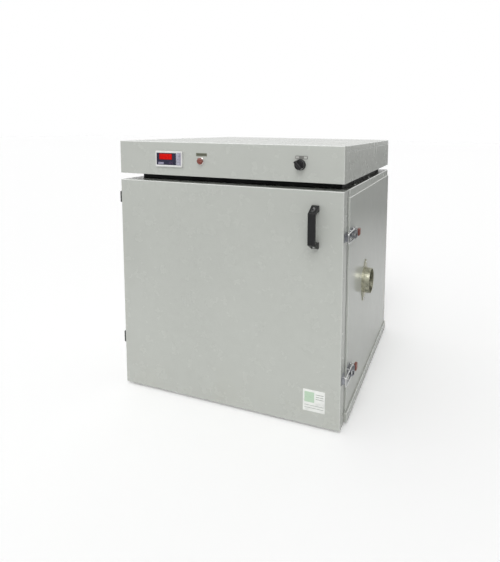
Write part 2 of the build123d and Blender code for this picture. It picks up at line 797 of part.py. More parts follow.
door_inner_pan.part.label = "door_inner_pan"
export_step(door_inner_pan.part, "parts/door_inner_pan.step")

# Door insulation: wool slab that fills the skin and the plug
with BuildPart() as door_insulation:
    with BuildSketch(facing_front(0, door_back - sheet, 0)):
        with Locations((0, foot_height + cabinet_height / 2)):
            Rectangle(oven_width - 2 * sheet - 2 * bore_gap, cabinet_height - 2 * sheet - 2 * bore_gap)
    extrude(amount=door_thickness - 2 * sheet - handle_nut)
    with BuildSketch(facing_front(0, plug_back - pan_sheet, 0)):
        with Locations((0, chamber_mid_z)):
            Rectangle(plug_width - 2 * plug_corner, plug_height - 2 * plug_corner)
    extrude(amount=plug_depth + sheet)
door_insulation.part.label = "door_insulation"
export_step(door_insulation.part, "parts/door_insulation.step")

# Door gasket: flat seal round the plug, just clear of the front frame
gasket_outer_x = chamber_width + 2 * gasket_margin + 2 * gasket_width
gasket_outer_z = chamber_height + 2 * gasket_margin + 2 * gasket_width
with BuildPart() as door_gasket:
    with BuildSketch(facing_front(0, cabinet_front - seal_gap, 0)):
        with Locations((0, chamber_mid_z)):
            RectangleRounded(gasket_outer_x, gasket_outer_z, gasket_width)
            RectangleRounded(
                gasket_outer_x - 2 * gasket_width, gasket_outer_z - 2 * gasket_width, gasket_width / 2,
                mode=Mode.SUBTRACT,
            )
    extrude(amount=door_gap - seal_gap - pan_sheet)
door_gasket.part.label = "door_gasket"
export_step(door_gasket.part, "parts/door_gasket.step")

# Handle: moulded bow handle with sloped ends, screwed through its feet
half_handle = handle_length / 2
with BuildPart() as handle:
    with BuildSketch(Plane((handle_x, front_y, handle_z), x_dir=(0, -1, 0), z_dir=(-1, 0, 0))):
        with BuildLine():
            Polyline(
                (0, half_handle),
                (handle_foot, half_handle),
                (handle_reach, half_handle - handle_slope),
                (handle_reach, handle_slope - half_handle),
                (handle_foot, -half_handle),
                (0, -half_handle),
                (0, handle_leg - half_handle),
                (handle_foot, handle_leg - half_handle),
                (handle_reach - handle_bar, handle_slope + handle_bar / 2 - half_handle),
                (handle_reach - handle_bar, half_handle - handle_slope - handle_bar / 2),
                (handle_foot, half_handle - handle_leg),
                (0, half_handle - handle_leg),
                close=True,
            )
        make_face()
        grip_corners = vertices().filter_by(lambda v: v.X > handle_foot + 1)
        fillet(grip_corners, handle_rounding)
    extrude(amount=handle_width / 2, both=True)
    rim_edges = handle.faces().sort_by(Axis.X)[0].edges() + handle.faces().sort_by(Axis.X)[-1].edges()
    fillet(rim_edges.filter_by(lambda e: e.center().Y < front_y - handle_foot), handle_rounding)
    for end in (-1, 1):
        with Locations(facing_back(handle_x, front_y - handle_reach, handle_z + end * handle_screw_pitch / 2)):
            Cylinder(handle_screw_r + screw_gap, 2 * handle_reach, align=low, mode=Mode.SUBTRACT)
            Cylinder(
                handle_head_r + screw_gap,
                handle_reach - handle_seat,
                align=low,
                mode=Mode.SUBTRACT,
            )
handle.part.label = "handle"
export_step(handle.part, "parts/handle.step")

with BuildPart() as handle_screws:
    for end in (-1, 1):
        screw_z = handle_z + end * handle_screw_pitch / 2
        with Locations(facing_front(handle_x, front_y - handle_seat, screw_z)):
            Cylinder(handle_head_r, handle_screw_r, align=low)
        with Locations(facing_back(handle_x, front_y - handle_seat, screw_z)):
            Cylinder(handle_screw_r, handle_seat + sheet + handle_nut, align=low)
        with BuildSketch(facing_back(handle_x, front_y + sheet, screw_z)):
            RegularPolygon(handle_head_r + sheet, 6)
        extrude(amount=handle_nut - 1)
handle_screws.part.label = "handle_screws"
export_step(handle_screws.part, "parts/handle_screws.step")

# Door screws: the same pan-head screw at the keepers and the door's hinge leaves
with BuildPart() as door_screws:
    add_screws(keeper_screw_places + door_hinge_screw_places, door_screw_length)
door_screws.part.label = "door_screws"
export_step(door_screws.part, "parts/door_screws.step")

# Hook latches: base with two ears, lever over them, hook hung in the lever, keeper on the door
ear_half = ear_inner + ear_sheet
lever_inner = ear_half + lever_gap
lever_half = lever_inner + lever_sheet
hook_level = latch_pivot_out - hook_pivot_drop
hook_front = crossbar_y - latch_pivot_y
grip_end = grip_start + grip_length


def latch_side(z):
    """A latch's own plane: X runs back from the lever pivot, Y runs out from the cover."""
    return Plane((cover_face, latch_pivot_y, z), x_dir=(0, 1, 0), z_dir=(0, 0, -1))


for level, latch_z in latch_heights.items():
    with BuildPart() as latch_base:
        with BuildSketch(facing_right(cover_face, latch_pivot_y, latch_z)):
            with Locations(((latch_base_back - latch_base_front) / 2, 0)):
                RectangleRounded(latch_base_back + latch_base_front, 2 * latch_base_half, 3 * sheet)
        extrude(amount=latch_plate)
        with BuildSketch(latch_side(latch_z)):
            with Locations((0, latch_pivot_out)):
                Circle(ear_r)
            with Locations((0, latch_plate / 2)):
                Rectangle(2 * ear_r, latch_pivot_out - latch_plate / 2, align=(Align.CENTER, Align.MIN))
        extrude(amount=ear_half, both=True)
        with Locations((cover_face + latch_plate, latch_pivot_y, latch_z)):
            Box(oven_width, 4 * ear_r, 2 * ear_inner, align=(Align.MIN, Align.CENTER, Align.CENTER), mode=Mode.SUBTRACT)
        with Locations((cover_face + latch_pivot_out, latch_pivot_y, latch_z)):
            Cylinder(latch_pin_r, 4 * ear_half, mode=Mode.SUBTRACT)
        cut_screw_holes(latch_screw_places, side_screw_length)
    latch_base.part.label = f"latch_base_{level}"
    export_step(latch_base.part, f"parts/latch_base_{level}.step")

    with BuildPart() as latch_lever:
        with BuildSketch(latch_side(latch_z)):
            with Locations((0, latch_pivot_out)):
                Circle(ear_r + lever_rim)
            with Locations((hook_pivot_back, hook_level)):
                Circle(trunnion_r + lever_rim + 0.5)
            with Locations((lever_end, latch_pivot_out)):
                Circle(grip_thickness / 2)
            make_hull()
        extrude(amount=lever_half, both=True)
        with Locations((cover_face, latch_pivot_y, latch_z)):
            Box(
                oven_width, oven_depth, 2 * lever_inner,
                align=(Align.MIN, Align.CENTER, Align.CENTER), mode=Mode.SUBTRACT,
            )
        with BuildSketch(latch_side(latch_z)):
            with Locations((lever_web_start, latch_pivot_out + web_level)):
                Rectangle(grip_end - grip_tip - lever_web_start, lever_web, align=(Align.MIN, Align.CENTER))
        extrude(amount=lever_inner, both=True)
        with Locations((cover_face + latch_pivot_out, latch_pivot_y, latch_z)):
            Cylinder(latch_pin_r + running_gap, 4 * lever_half, mode=Mode.SUBTRACT)
        with Locations((cover_face + hook_level, latch_pivot_y + hook_pivot_back, latch_z)):
            Cylinder(trunnion_r + running_gap, 4 * lever_half, mode=Mode.SUBTRACT)
    latch_lever.part.label = f"latch_lever_{level}"
    export_step(latch_lever.part, f"parts/latch_lever_{level}.step")

    with BuildPart() as latch_grip:
        with BuildSketch(facing_right(cover_face + latch_pivot_out + web_level, latch_pivot_y, latch_z)):
            with Locations((grip_start + grip_length / 2, 0)):
                RectangleRounded(grip_length, 2 * grip_half, grip_rounding)
        extrude(amount=grip_thickness / 2, both=True)
        grip_rims = latch_grip.faces().sort_by(Axis.X)
        fillet(grip_rims[0].edges() + grip_rims[-1].edges(), grip_rounding)
        with BuildSketch(latch_side(latch_z)):
            with Locations((lever_web_start, latch_pivot_out + web_level)):
                Rectangle(grip_end - grip_tip - lever_web_start, lever_web, align=(Align.MIN, Align.CENTER))
        extrude(amount=lever_inner, both=True, mode=Mode.SUBTRACT)
    latch_grip.part.label = f"latch_grip_{level}"
    export_step(latch_grip.part, f"parts/latch_grip_{level}.step")

    with BuildPart() as latch_hook:
        with BuildLine(facing_right(cover_face + hook_level, latch_pivot_y, latch_z)) as hook_path:
            FilletPolyline(
                (hook_pivot_back + hook_tail, -hook_half),
                (hook_front, -hook_half),
                (hook_front, hook_half),
                (hook_pivot_back + hook_tail, hook_half),
                radius=hook_bend,
            )
        with BuildSketch(Plane(hook_path.line @ 0, z_dir=hook_path.line % 0)):
            Circle(hook_rod_r)
        sweep()
        with Locations((cover_face + hook_level, latch_pivot_y + hook_pivot_back, latch_z)):
            Cylinder(trunnion_r, 2 * (hook_half + hook_rod_r + 1))
        with BuildSketch(facing_back(cover_face + hook_level, latch_pivot_y + hook_pivot_back + trunnion_r, latch_z)):
            with Locations((0, -hook_half), (0, hook_half)):
                RegularPolygon(hook_nut_r, 6)
        extrude(amount=hook_nut)
    latch_hook.part.label = f"latch_hook_{level}"
    export_step(latch_hook.part, f"parts/latch_hook_{level}.step")

    with BuildPart() as latch_keeper:
        with BuildSketch(Plane((half_width, 0, latch_z), x_dir=(0, 1, 0), z_dir=(0, 0, -1))):
            with BuildLine():
                Polyline(
                    (keeper_lip_y, 0),
                    (keeper_lip_y, keeper_height),
                    (keeper_lip_y + latch_plate, keeper_height),
                    (keeper_lip_y + latch_plate, latch_plate),
                    (keeper_lip_y + keeper_length, latch_plate),
                    (keeper_lip_y + keeper_length, 0),
                    close=True,
                )
            make_face()
            fillet(vertices().group_by(Axis.Y)[-1], latch_plate / 2 - 0.1)
        extrude(amount=keeper_half, both=True)
        for side in (-1, 1):
            with Locations((half_width + latch_plate, keeper_lip_y, latch_z + side * keeper_lip_half)):
                Box(
                    keeper_height, 4 * latch_plate, keeper_half,
                    align=(Align.MIN, Align.CENTER, Align.MIN if side > 0 else Align.MAX), mode=Mode.SUBTRACT,
                )
        cut_screw_holes(keeper_screw_places, door_screw_length)
    latch_keeper.part.label = f"latch_keeper_{level}"
    export_step(latch_keeper.part, f"parts/latch_keeper_{level}.step")

with BuildPart() as latch_pins:
    with Locations(*[(cover_face + latch_pivot_out, latch_pivot_y, z) for z in latch_heights.values()]):
        Cylinder(latch_pin_r, 2 * lever_half + 1)
latch_pins.part.label = "latch_pins"
export_step(latch_pins.part, "parts/latch_pins.step")

# Plinth: dark set-back frame that lifts the header off the hot cabinet
plinth_front = front_y + plinth_front_inset
plinth_back = back_y - plinth_back_inset
plinth_depth = plinth_back - plinth_front
with BuildPart() as plinth:
    with Locations((0, (plinth_front + plinth_back) / 2, cabinet_top)):
        Box(oven_width - 2 * plinth_side_inset, plinth_depth, plinth_height, align=low)
    offset(amount=-sheet, openings=plinth.faces().sort_by(Axis.Z)[0])
    with BuildSketch(Plane.XY.offset(cabinet_top)):
        with Locations((0, (plinth_front + plinth_back) / 2)):
            Rectangle(oven_width - 2 * plinth_side_inset, plinth_depth)
            Rectangle(
                oven_width - 2 * plinth_side_inset - 2 * plinth_flange,
                plinth_depth - 2 * plinth_flange,
                mode=Mode.SUBTRACT,
            )
    extrude(amount=sheet)
plinth.part.label = "plinth"
export_step(plinth.part, "parts/plinth.step")

# Header tray: floor and side walls of the control box, with a lip that the lid sits over
tray_front = front_y + front_panel_depth
tray_depth = back_y - tray_front
tray_mid_y = (back_y + tray_front) / 2
wall_top = header_top - lid_flange - lid_seam
lip_bottom = wall_top - lip_height
lip_top = header_top - sheet
lip_edge = panel_edge - sheet
with BuildPart() as header_tray:
    with Locations((0, tray_mid_y, header_bottom)):
        Box(oven_width, tray_depth, wall_top - header_bottom, align=low)
    tray_ends = header_tray.faces().sort_by(Axis.Y)
    offset(amount=-sheet, openings=header_tray.faces().sort_by(Axis.Z)[-1:] + tray_ends[:1] + tray_ends[-1:])
    for side in (-1, 1):
        inner_x = side * (half_width - 2 * sheet)
        outer_x = side * (half_width - sheet)
        with BuildSketch(Plane.XZ.offset(-tray_front)):
            with BuildLine():
                Polyline(
                    (inner_x, lip_bottom),
                    (outer_x, lip_bottom),
                    (outer_x, lip_top - lip_edge),
                    (outer_x - side * lip_edge, lip_top),
                    (inner_x, lip_top),
                    close=True,
                )
            make_face()
        extrude(amount=-(tray_depth - 2 * sheet))
header_tray.part.label = "header_tray"
export_step(header_tray.part, "parts/header_tray.step")

# Header back: plate between the tray's side walls, with the same lip, the air slots and the hole for the cable gland
with BuildPart() as header_back:
    with BuildSketch(Plane.YZ.offset(sheet - half_width)):
        with BuildLine():
            Polyline(
                (back_y, header_bottom + sheet),
                (back_y, wall_top),
                (back_y - sheet, wall_top),
                (back_y - sheet, lip_top - lip_edge),
                (back_y - sheet - lip_edge, lip_top),
                (back_y - 2 * sheet, lip_top),
                (back_y - 2 * sheet, lip_bottom),
                (back_y - sheet, lip_bottom),
                (back_y - sheet, header_bottom + sheet),
                close=True,
            )
        make_face()
    extrude(amount=oven_width - 2 * sheet)
    for side in (-1, 1):
        with Locations((side * (half_width - sheet), back_y - 3 * sheet, lip_bottom - sheet)):
            Box(
                2 * sheet,
                2 * sheet,
                header_height,
                align=(Align.CENTER, Align.MIN, Align.MIN),
                mode=Mode.SUBTRACT,
            )
    with BuildSketch(facing_front(vent_slot_x, back_y + 1, (header_bottom + wall_top) / 2)):
        with GridLocations(vent_slot_pitch, 1, vent_slot_count, 1):
            SlotOverall(vent_slot_length, 2 * vent_slot_r, rotation=90)
    extrude(amount=3 * sheet, mode=Mode.SUBTRACT)
    with Locations(facing_front(gland_x, back_y + 1, gland_z)):
        Cylinder(gland_thread_r, 3 * sheet, align=low, mode=Mode.SUBTRACT)
header_back.part.label = "header_back"
export_step(header_back.part, "parts/header_back.step")

# Header front panel: pan folded back on all four sides, with the cut-outs of its fittings
with BuildPart() as header_front:
    with Locations((0, front_y, header_bottom)):
        Box(oven_width, front_panel_depth, header_height, align=(Align.CENTER, Align.MIN, Align.MIN))
    fillet(header_front.faces().sort_by(Axis.Y)[0].edges(), panel_edge)
    chamfer(header_front.faces().sort_by(Axis.Y)[-1].edges(), seam_groove)
    offset(amount=-sheet, openings=header_front.faces().sort_by(Axis.Y)[-1])
    with BuildSketch(facing_front(0, front_y + 2 * sheet, 0)):
        with Locations((controller_x, controller_z)):
            Rectangle(body_width + 1, body_height + 1)
        with Locations((lamp_x, lamp_z)):
            Circle(lamp_barrel_r + screw_gap)
        with Locations((selector_x, selector_z)):
            Circle(selector_barrel_r + screw_gap)
    extrude(amount=4 * sheet, mode=Mode.SUBTRACT)
header_front.part.label = "header_front"
export_step(header_front.part, "parts/header_front.step")

# Header lid: shallow cover with a short flange all round
with BuildPart() as header_lid:
    with Locations((0, tray_mid_y, header_top - lid_flange)):
        Box(oven_width, tray_depth, lid_flange, align=low)
    lid_rim = header_lid.faces().sort_by(Axis.Z)[-1].edges()
    fillet(lid_rim.sort_by(Axis.Y)[1:], panel_edge)
    lid_openings = header_lid.faces().sort_by(Axis.Z)[:1] + header_lid.faces().sort_by(Axis.Y)[:1]
    offset(amount=-sheet, openings=lid_openings)
header_lid.part.label = "header_lid"
export_step(header_lid.part, "parts/header_lid.step")

# Temperature controller: moulded bezel and body in one, with a dark window and four keys
key_places = [
    (controller_x + key_shift, controller_z + (row - (key_count - 1) / 2) * key_pitch) for row in range(key_count)
]
bezel_front = front_y - bezel_depth
with BuildPart() as controller_housing:
    with BuildSketch(facing_front(controller_x, front_y, controller_z)):
        RectangleRounded(bezel_width, bezel_height, bezel_corner)
    extrude(amount=bezel_depth)
    fillet(controller_housing.faces().sort_by(Axis.Y)[0].edges(), sheet)
    with Locations(facing_back(controller_x, front_y, controller_z)):
        Box(body_width, body_height, body_depth, align=low)
    with BuildSketch(facing_back(controller_x + window_shift, bezel_front, controller_z)):
        Rectangle(window_width, window_height)
    extrude(amount=window_sheet, mode=Mode.SUBTRACT)
    with BuildSketch(facing_back(0, bezel_front, 0)):
        with Locations(*[(-x, z) for x, z in key_places]):
            Rectangle(key_width + 2 * key_gap, key_height + 2 * key_gap)
    extrude(amount=key_depth + key_travel + key_gap, mode=Mode.SUBTRACT)
controller_housing.part.label = "controller_housing"
export_step(controller_housing.part, "parts/controller_housing.step")

with BuildPart() as controller_window:
    with BuildSketch(facing_back(controller_x + window_shift, bezel_front, controller_z)):
        Rectangle(window_width, window_height)
    extrude(amount=window_sheet)
controller_window.part.label = "controller_window"
export_step(controller_window.part, "parts/controller_window.step")

for row, (key_x, key_z) in enumerate(reversed(key_places), start=1):
    with BuildPart() as controller_key:
        with BuildSketch(facing_back(key_x, bezel_front - key_proud, key_z)):
            RectangleRounded(key_width, key_height, sheet)
        extrude(amount=key_depth + key_proud)
        fillet(controller_key.faces().sort_by(Axis.Y)[0].edges(), key_gap)
    controller_key.part.label = f"controller_key_{row}"
    export_step(controller_key.part, f"parts/controller_key_{row}.step")

# Indicator lamp: chromed ring and barrel with a domed lens
with BuildPart() as lamp_holder:
    with Locations(facing_front(lamp_x, front_y, lamp_z)):
        Cylinder(lamp_ring_r, lamp_ring, align=low)
    chamfer(lamp_holder.faces().sort_by(Axis.Y)[0].edges(), sheet)
    with Locations(facing_back(lamp_x, front_y, lamp_z)):
        Cylinder(lamp_barrel_r, lamp_barrel, align=low)
    with Locations(facing_back(lamp_x, front_y - lamp_ring, lamp_z)):
        Cylinder(lens_r, lens_seat, align=low, mode=Mode.SUBTRACT)
lamp_holder.part.label = "lamp_holder"
export_step(lamp_holder.part, "parts/lamp_holder.step")

with BuildPart() as lamp_lens:
    with Locations(facing_front(lamp_x, front_y - lamp_ring + lens_seat, lamp_z)):
        Cylinder(lens_r, lens_height, align=low)
    fillet(lamp_lens.faces().sort_by(Axis.Y)[0].edges(), lens_height - lens_seat)
lamp_lens.part.label = "lamp_lens"
export_step(lamp_lens.part, "parts/lamp_lens.step")

# Selector switch: collar and switch body fixed in the panel, winged knob turning in it
with BuildPart() as selector_switch:
    with Locations(facing_front(selector_x, front_y, selector_z)):
        Cylinder(selector_ring_r, selector_ring, align=low)
    chamfer(selector_switch.faces().sort_by(Axis.Y)[0].edges(), sheet)
    with Locations(facing_back(selector_x, front_y, selector_z)):
        Cylinder(selector_barrel_r, selector_barrel, align=low)
    with Locations(facing_back(selector_x, front_y - selector_ring, selector_z)):
        Cylinder(knob_shaft_r + running_gap, selector_barrel, align=low, mode=Mode.SUBTRACT)
selector_switch.part.label = "selector_switch"
export_step(selector_switch.part, "parts/selector_switch.step")

knob_back = front_y - selector_ring - knob_gap
knob_plane = Plane(
    (selector_x, knob_back - knob_disc, selector_z),
    x_dir=(cos(radians(90 + knob_angle)), 0, sin(radians(90 + knob_angle))),
    z_dir=(0, -1, 0),
)
with BuildPart() as selector_knob:
    with Locations(facing_front(selector_x, knob_back, selector_z)):
        Cylinder(knob_r, knob_disc, align=low)
    with BuildSketch(knob_plane):
        Circle(knob_r)
        Rectangle(3 * knob_r, knob_wing, mode=Mode.INTERSECT)
    extrude(amount=knob_wing_height)
    fillet(selector_knob.faces().sort_by(Axis.Y)[0].edges(), sheet)
    with BuildSketch(knob_plane.offset(knob_wing_height)):
        with Locations((knob_line_start, 0)):
            Rectangle(knob_r - 2 * sheet - knob_line_start, knob_line, align=(Align.MIN, Align.CENTER))
    extrude(amount=-knob_line / 2, mode=Mode.SUBTRACT)
    with Locations(facing_back(selector_x, knob_back, selector_z)):
        Cylinder(knob_shaft_r, selector_ring + knob_gap + knob_shaft, align=low)
selector_knob.part.label = "selector_knob"
export_step(selector_knob.part, "parts/selector_knob.step")

# Power relay: finned heat sink with its module, on the header floor
with BuildPart() as power_relay:
    with BuildSketch(facing_front(relay_x, relay_y + relay_depth / 2, header_bottom + sheet)):
        Rectangle(relay_width, relay_base, align=(Align.CENTER, Align.MIN))
        with Locations((0, relay_base)):
            with GridLocations(relay_fin_pitch, 1, relay_fin_count, 1):
                Rectangle(relay_fin, relay_height, align=(Align.CENTER, Align.MIN))
        with Locations((0, relay_base)):
            Rectangle(relay_width / 2, relay_height / 2, align=(Align.CENTER, Align.MIN))
    extrude(amount=relay_depth)
power_relay.part.label = "power_relay"
export_step(power_relay.part, "parts/power_relay.step")

# Cable gland: threaded body through the back wall with a domed nut
with BuildPart() as cable_gland:
    with BuildSketch(facing_back(gland_x, back_y, gland_z)):
        RegularPolygon(gland_hex_r, 6)
    extrude(amount=gland_hex)
    with Locations(facing_back(gland_x, back_y + gland_hex, gland_z)):
        Cylinder(gland_dome_r, gland_dome, align=low)
    fillet(cable_gland.faces().sort_by(Axis.Y)[-1].edges(), gland_rounding)
    with Locations(facing_front(gland_x, back_y, gland_z)):
        Cylinder(gland_thread_r, 6 * sheet, align=low)
    with Locations(facing_front(gland_x, back_y - sheet, gland_z)):
        Cylinder(gland_hex_r, 3 * sheet, align=low)
    with Locations(facing_front(gland_x, back_y + gland_hex + gland_dome + 1, gland_z)):
        Cylinder(gland_bore_r, 3 * gland_dome, align=low, mode=Mode.SUBTRACT)
cable_gland.part.label = "cable_gland"
export_step(cable_gland.part, "parts/cable_gland.step")
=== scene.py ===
import json
import math

import bpy
import numpy as np
from mathutils import Matrix, Vector


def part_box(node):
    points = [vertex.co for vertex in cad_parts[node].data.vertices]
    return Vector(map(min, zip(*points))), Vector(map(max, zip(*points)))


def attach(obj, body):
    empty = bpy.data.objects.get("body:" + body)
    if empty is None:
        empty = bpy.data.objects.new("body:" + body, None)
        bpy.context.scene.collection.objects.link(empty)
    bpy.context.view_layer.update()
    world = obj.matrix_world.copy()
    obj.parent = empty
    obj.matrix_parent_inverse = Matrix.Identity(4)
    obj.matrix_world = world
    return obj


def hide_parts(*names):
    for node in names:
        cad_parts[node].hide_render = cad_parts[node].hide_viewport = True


# A bench drying oven: the CAD parts get their finishes here, and screws, labels, display and key plate
# are worked out as surfaces. Sizes in the dictionaries are millimetres, colours are display values.

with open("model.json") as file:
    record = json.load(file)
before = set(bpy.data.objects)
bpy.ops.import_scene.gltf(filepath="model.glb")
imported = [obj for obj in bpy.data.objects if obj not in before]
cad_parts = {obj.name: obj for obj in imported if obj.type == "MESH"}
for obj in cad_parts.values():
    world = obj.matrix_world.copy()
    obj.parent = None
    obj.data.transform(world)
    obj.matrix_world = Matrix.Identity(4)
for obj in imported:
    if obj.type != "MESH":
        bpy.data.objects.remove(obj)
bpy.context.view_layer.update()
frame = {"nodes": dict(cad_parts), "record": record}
nodes = frame["nodes"]
slotOf = {part["node"]: part["material_slot"] for part in frame["record"]["subparts"]}
scene = bpy.context.scene
scene.view_settings.view_transform = "Standard"
mm = 0.001
print("frame loaded,", len(nodes), "parts")


# ---- camera ----

cameraLook = {
    "place": (682.56, -1559.86, 887.79),
    "yaw": -0.335387,
    "pitch": -0.0990184,
    "roll": 0.0113604,
    "lens": 32.24,
    "shift": (-0.11266, -0.21776),
}


def addCamera(look):
    yaw, pitch, roll = look["yaw"], look["pitch"], look["roll"]
    forward = Vector((math.sin(yaw) * math.cos(pitch), math.cos(yaw) * math.cos(pitch), math.sin(pitch)))
    right = Vector((math.cos(yaw), -math.sin(yaw), 0))
    up = right.cross(forward)
    turnedRight = right * math.cos(roll) + up * math.sin(roll)
    turnedUp = up * math.cos(roll) - right * math.sin(roll)
    camera = bpy.data.cameras.new("camera")
    camera.lens = look["lens"]
    camera.sensor_fit = "HORIZONTAL"
    camera.shift_x, camera.shift_y = look["shift"]
    holder = bpy.data.objects.new("camera", camera)
    turn = Matrix((turnedRight, turnedUp, -forward)).transposed().to_4x4()
    holder.matrix_world = Matrix.Translation(Vector(look["place"]) * mm) @ turn
    scene.collection.objects.link(holder)
    scene.camera = holder


addCamera(cameraLook)


# ---- small helpers for node trees and colours ----


def linear(colour):
    # display value to linear: below 0.04045 divided by 12.92, above it ((value + 0.055) / 1.055) ** 2.4
    value = np.asarray(colour, float) / 255
    bent = np.where(value <= 0.04045, value / 12.92, ((value + 0.055) / 1.055) ** 2.4)
    return (*bent.tolist(), 1.0)


def addNode(tree, kind, values=None, **settings):
    node = tree.nodes.new(kind)
    for key, value in settings.items():
        setattr(node, key, value)
    for key, value in (values or {}).items():
        node.inputs[key].default_value = value
    return node


def wire(tree, *pairs):
    for start, end in pairs:
        tree.links.new(start, end)


def blendColours(tree, factor, first, second, mode="MIX"):
    mix = addNode(tree, "ShaderNodeMix", data_type="RGBA", blend_type=mode)
    for socket, value in ((mix.inputs[0], factor), (mix.inputs[6], first), (mix.inputs[7], second)):
        if isinstance(value, bpy.types.NodeSocket):
            tree.links.new(value, socket)
        else:
            socket.default_value = value
    return mix.outputs[2]


def stretch(tree, value, low, high, newLow, newHigh):
    # value carried from low..high to newLow..newHigh, held at both ends
    node = addNode(tree, "ShaderNodeMapRange", {1: low, 2: high})
    wire(tree, (value, node.inputs[0]))
    for index, bound in ((3, newLow), (4, newHigh)):
        if isinstance(bound, bpy.types.NodeSocket):
            wire(tree, (bound, node.inputs[index]))
        else:
            node.inputs[index].default_value = bound
    return node.outputs[0]


def reckon(tree, operation, first, second=0.0, clamp=False):
    node = addNode(tree, "ShaderNodeMath", operation=operation, use_clamp=clamp)
    for socket, value in ((node.inputs[0], first), (node.inputs[1], second)):
        if isinstance(value, bpy.types.NodeSocket):
            wire(tree, (value, socket))
        else:
            socket.default_value = value
    return node.outputs[0]


def noise(tree, vector, scale, detail=2.0, roughness=0.5):
    node = addNode(tree, "ShaderNodeTexNoise", {"Scale": scale, "Detail": detail, "Roughness": roughness})
    wire(tree, (vector, node.inputs["Vector"]))
    return node.outputs["Fac"]


def bump(tree, height, distance, strength=1.0, normal=None):
    node = addNode(tree, "ShaderNodeBump", {"Distance": distance, "Strength": strength})
    wire(tree, (height, node.inputs["Height"]))
    if normal:
        wire(tree, (normal, node.inputs["Normal"]))
    return node.outputs["Normal"]


def makeGroup(name, inputs, outputs):
    group = bpy.data.node_groups.new(name, "ShaderNodeTree")
    kinds = {"vector": "NodeSocketVector", "colour": "NodeSocketColor", "value": "NodeSocketFloat"}
    for label, kind, start in inputs:
        socket = group.interface.new_socket(label, in_out="INPUT", socket_type=kinds[kind])
        if start is not None:
            socket.default_value = start
    for label, kind in outputs:
        group.interface.new_socket(label, in_out="OUTPUT", socket_type=kinds[kind])
    given = group.nodes.new("NodeGroupInput").outputs
    wanted = group.nodes.new("NodeGroupOutput").inputs
    return group, given, wanted


# ---- shared effects ----


def makeEdgeCatch():
    # mask of cut and folded edges: where a softened normal leans away from the true one, or where the true
    # normal of a fold lies between the axes; upward folds count full, downward ones hardly, so on the coat it is a
    # painted highlight
    inputs = [("Reach", "value", 0.0015), ("Fold", "value", 0.0), ("Under", "value", 1.0)]
    group, given, wanted = makeGroup("edgeCatch", inputs, [("Mask", "value")])
    soft = addNode(group, "ShaderNodeBevel", samples=6)
    true = addNode(group, "ShaderNodeNewGeometry")
    lean = addNode(group, "ShaderNodeVectorMath", operation="DOT_PRODUCT")
    wire(
        group,
        (given["Reach"], soft.inputs["Radius"]),
        (soft.outputs[0], lean.inputs[0]),
        (true.outputs["Normal"], lean.inputs[1]),
    )
    cut = stretch(group, lean.outputs["Value"], 0.995, 0.86, 0.0, 1.0)
    own = addNode(group, "ShaderNodeTexCoord")
    size = addNode(group, "ShaderNodeVectorMath", operation="ABSOLUTE")
    axes = addNode(group, "ShaderNodeSeparateXYZ")
    wire(group, (own.outputs["Normal"], size.inputs[0]), (size.outputs[0], axes.inputs[0]))
    nearest = reckon(group, "MAXIMUM", reckon(group, "MAXIMUM", axes.outputs[0], axes.outputs[1]), axes.outputs[2])
    fold = reckon(group, "MULTIPLY", stretch(group, nearest, 0.99, 0.88, 0.0, 1.0), given["Fold"])
    facing = addNode(group, "ShaderNodeSeparateXYZ")
    wire(group, (soft.outputs[0], facing.inputs[0]))
    upward = stretch(group, facing.outputs["Z"], -0.15, 0.45, given["Under"], 1.0)
    wire(group, (reckon(group, "MULTIPLY", reckon(group, "MAXIMUM", cut, fold), upward), wanted["Mask"]))
    return group


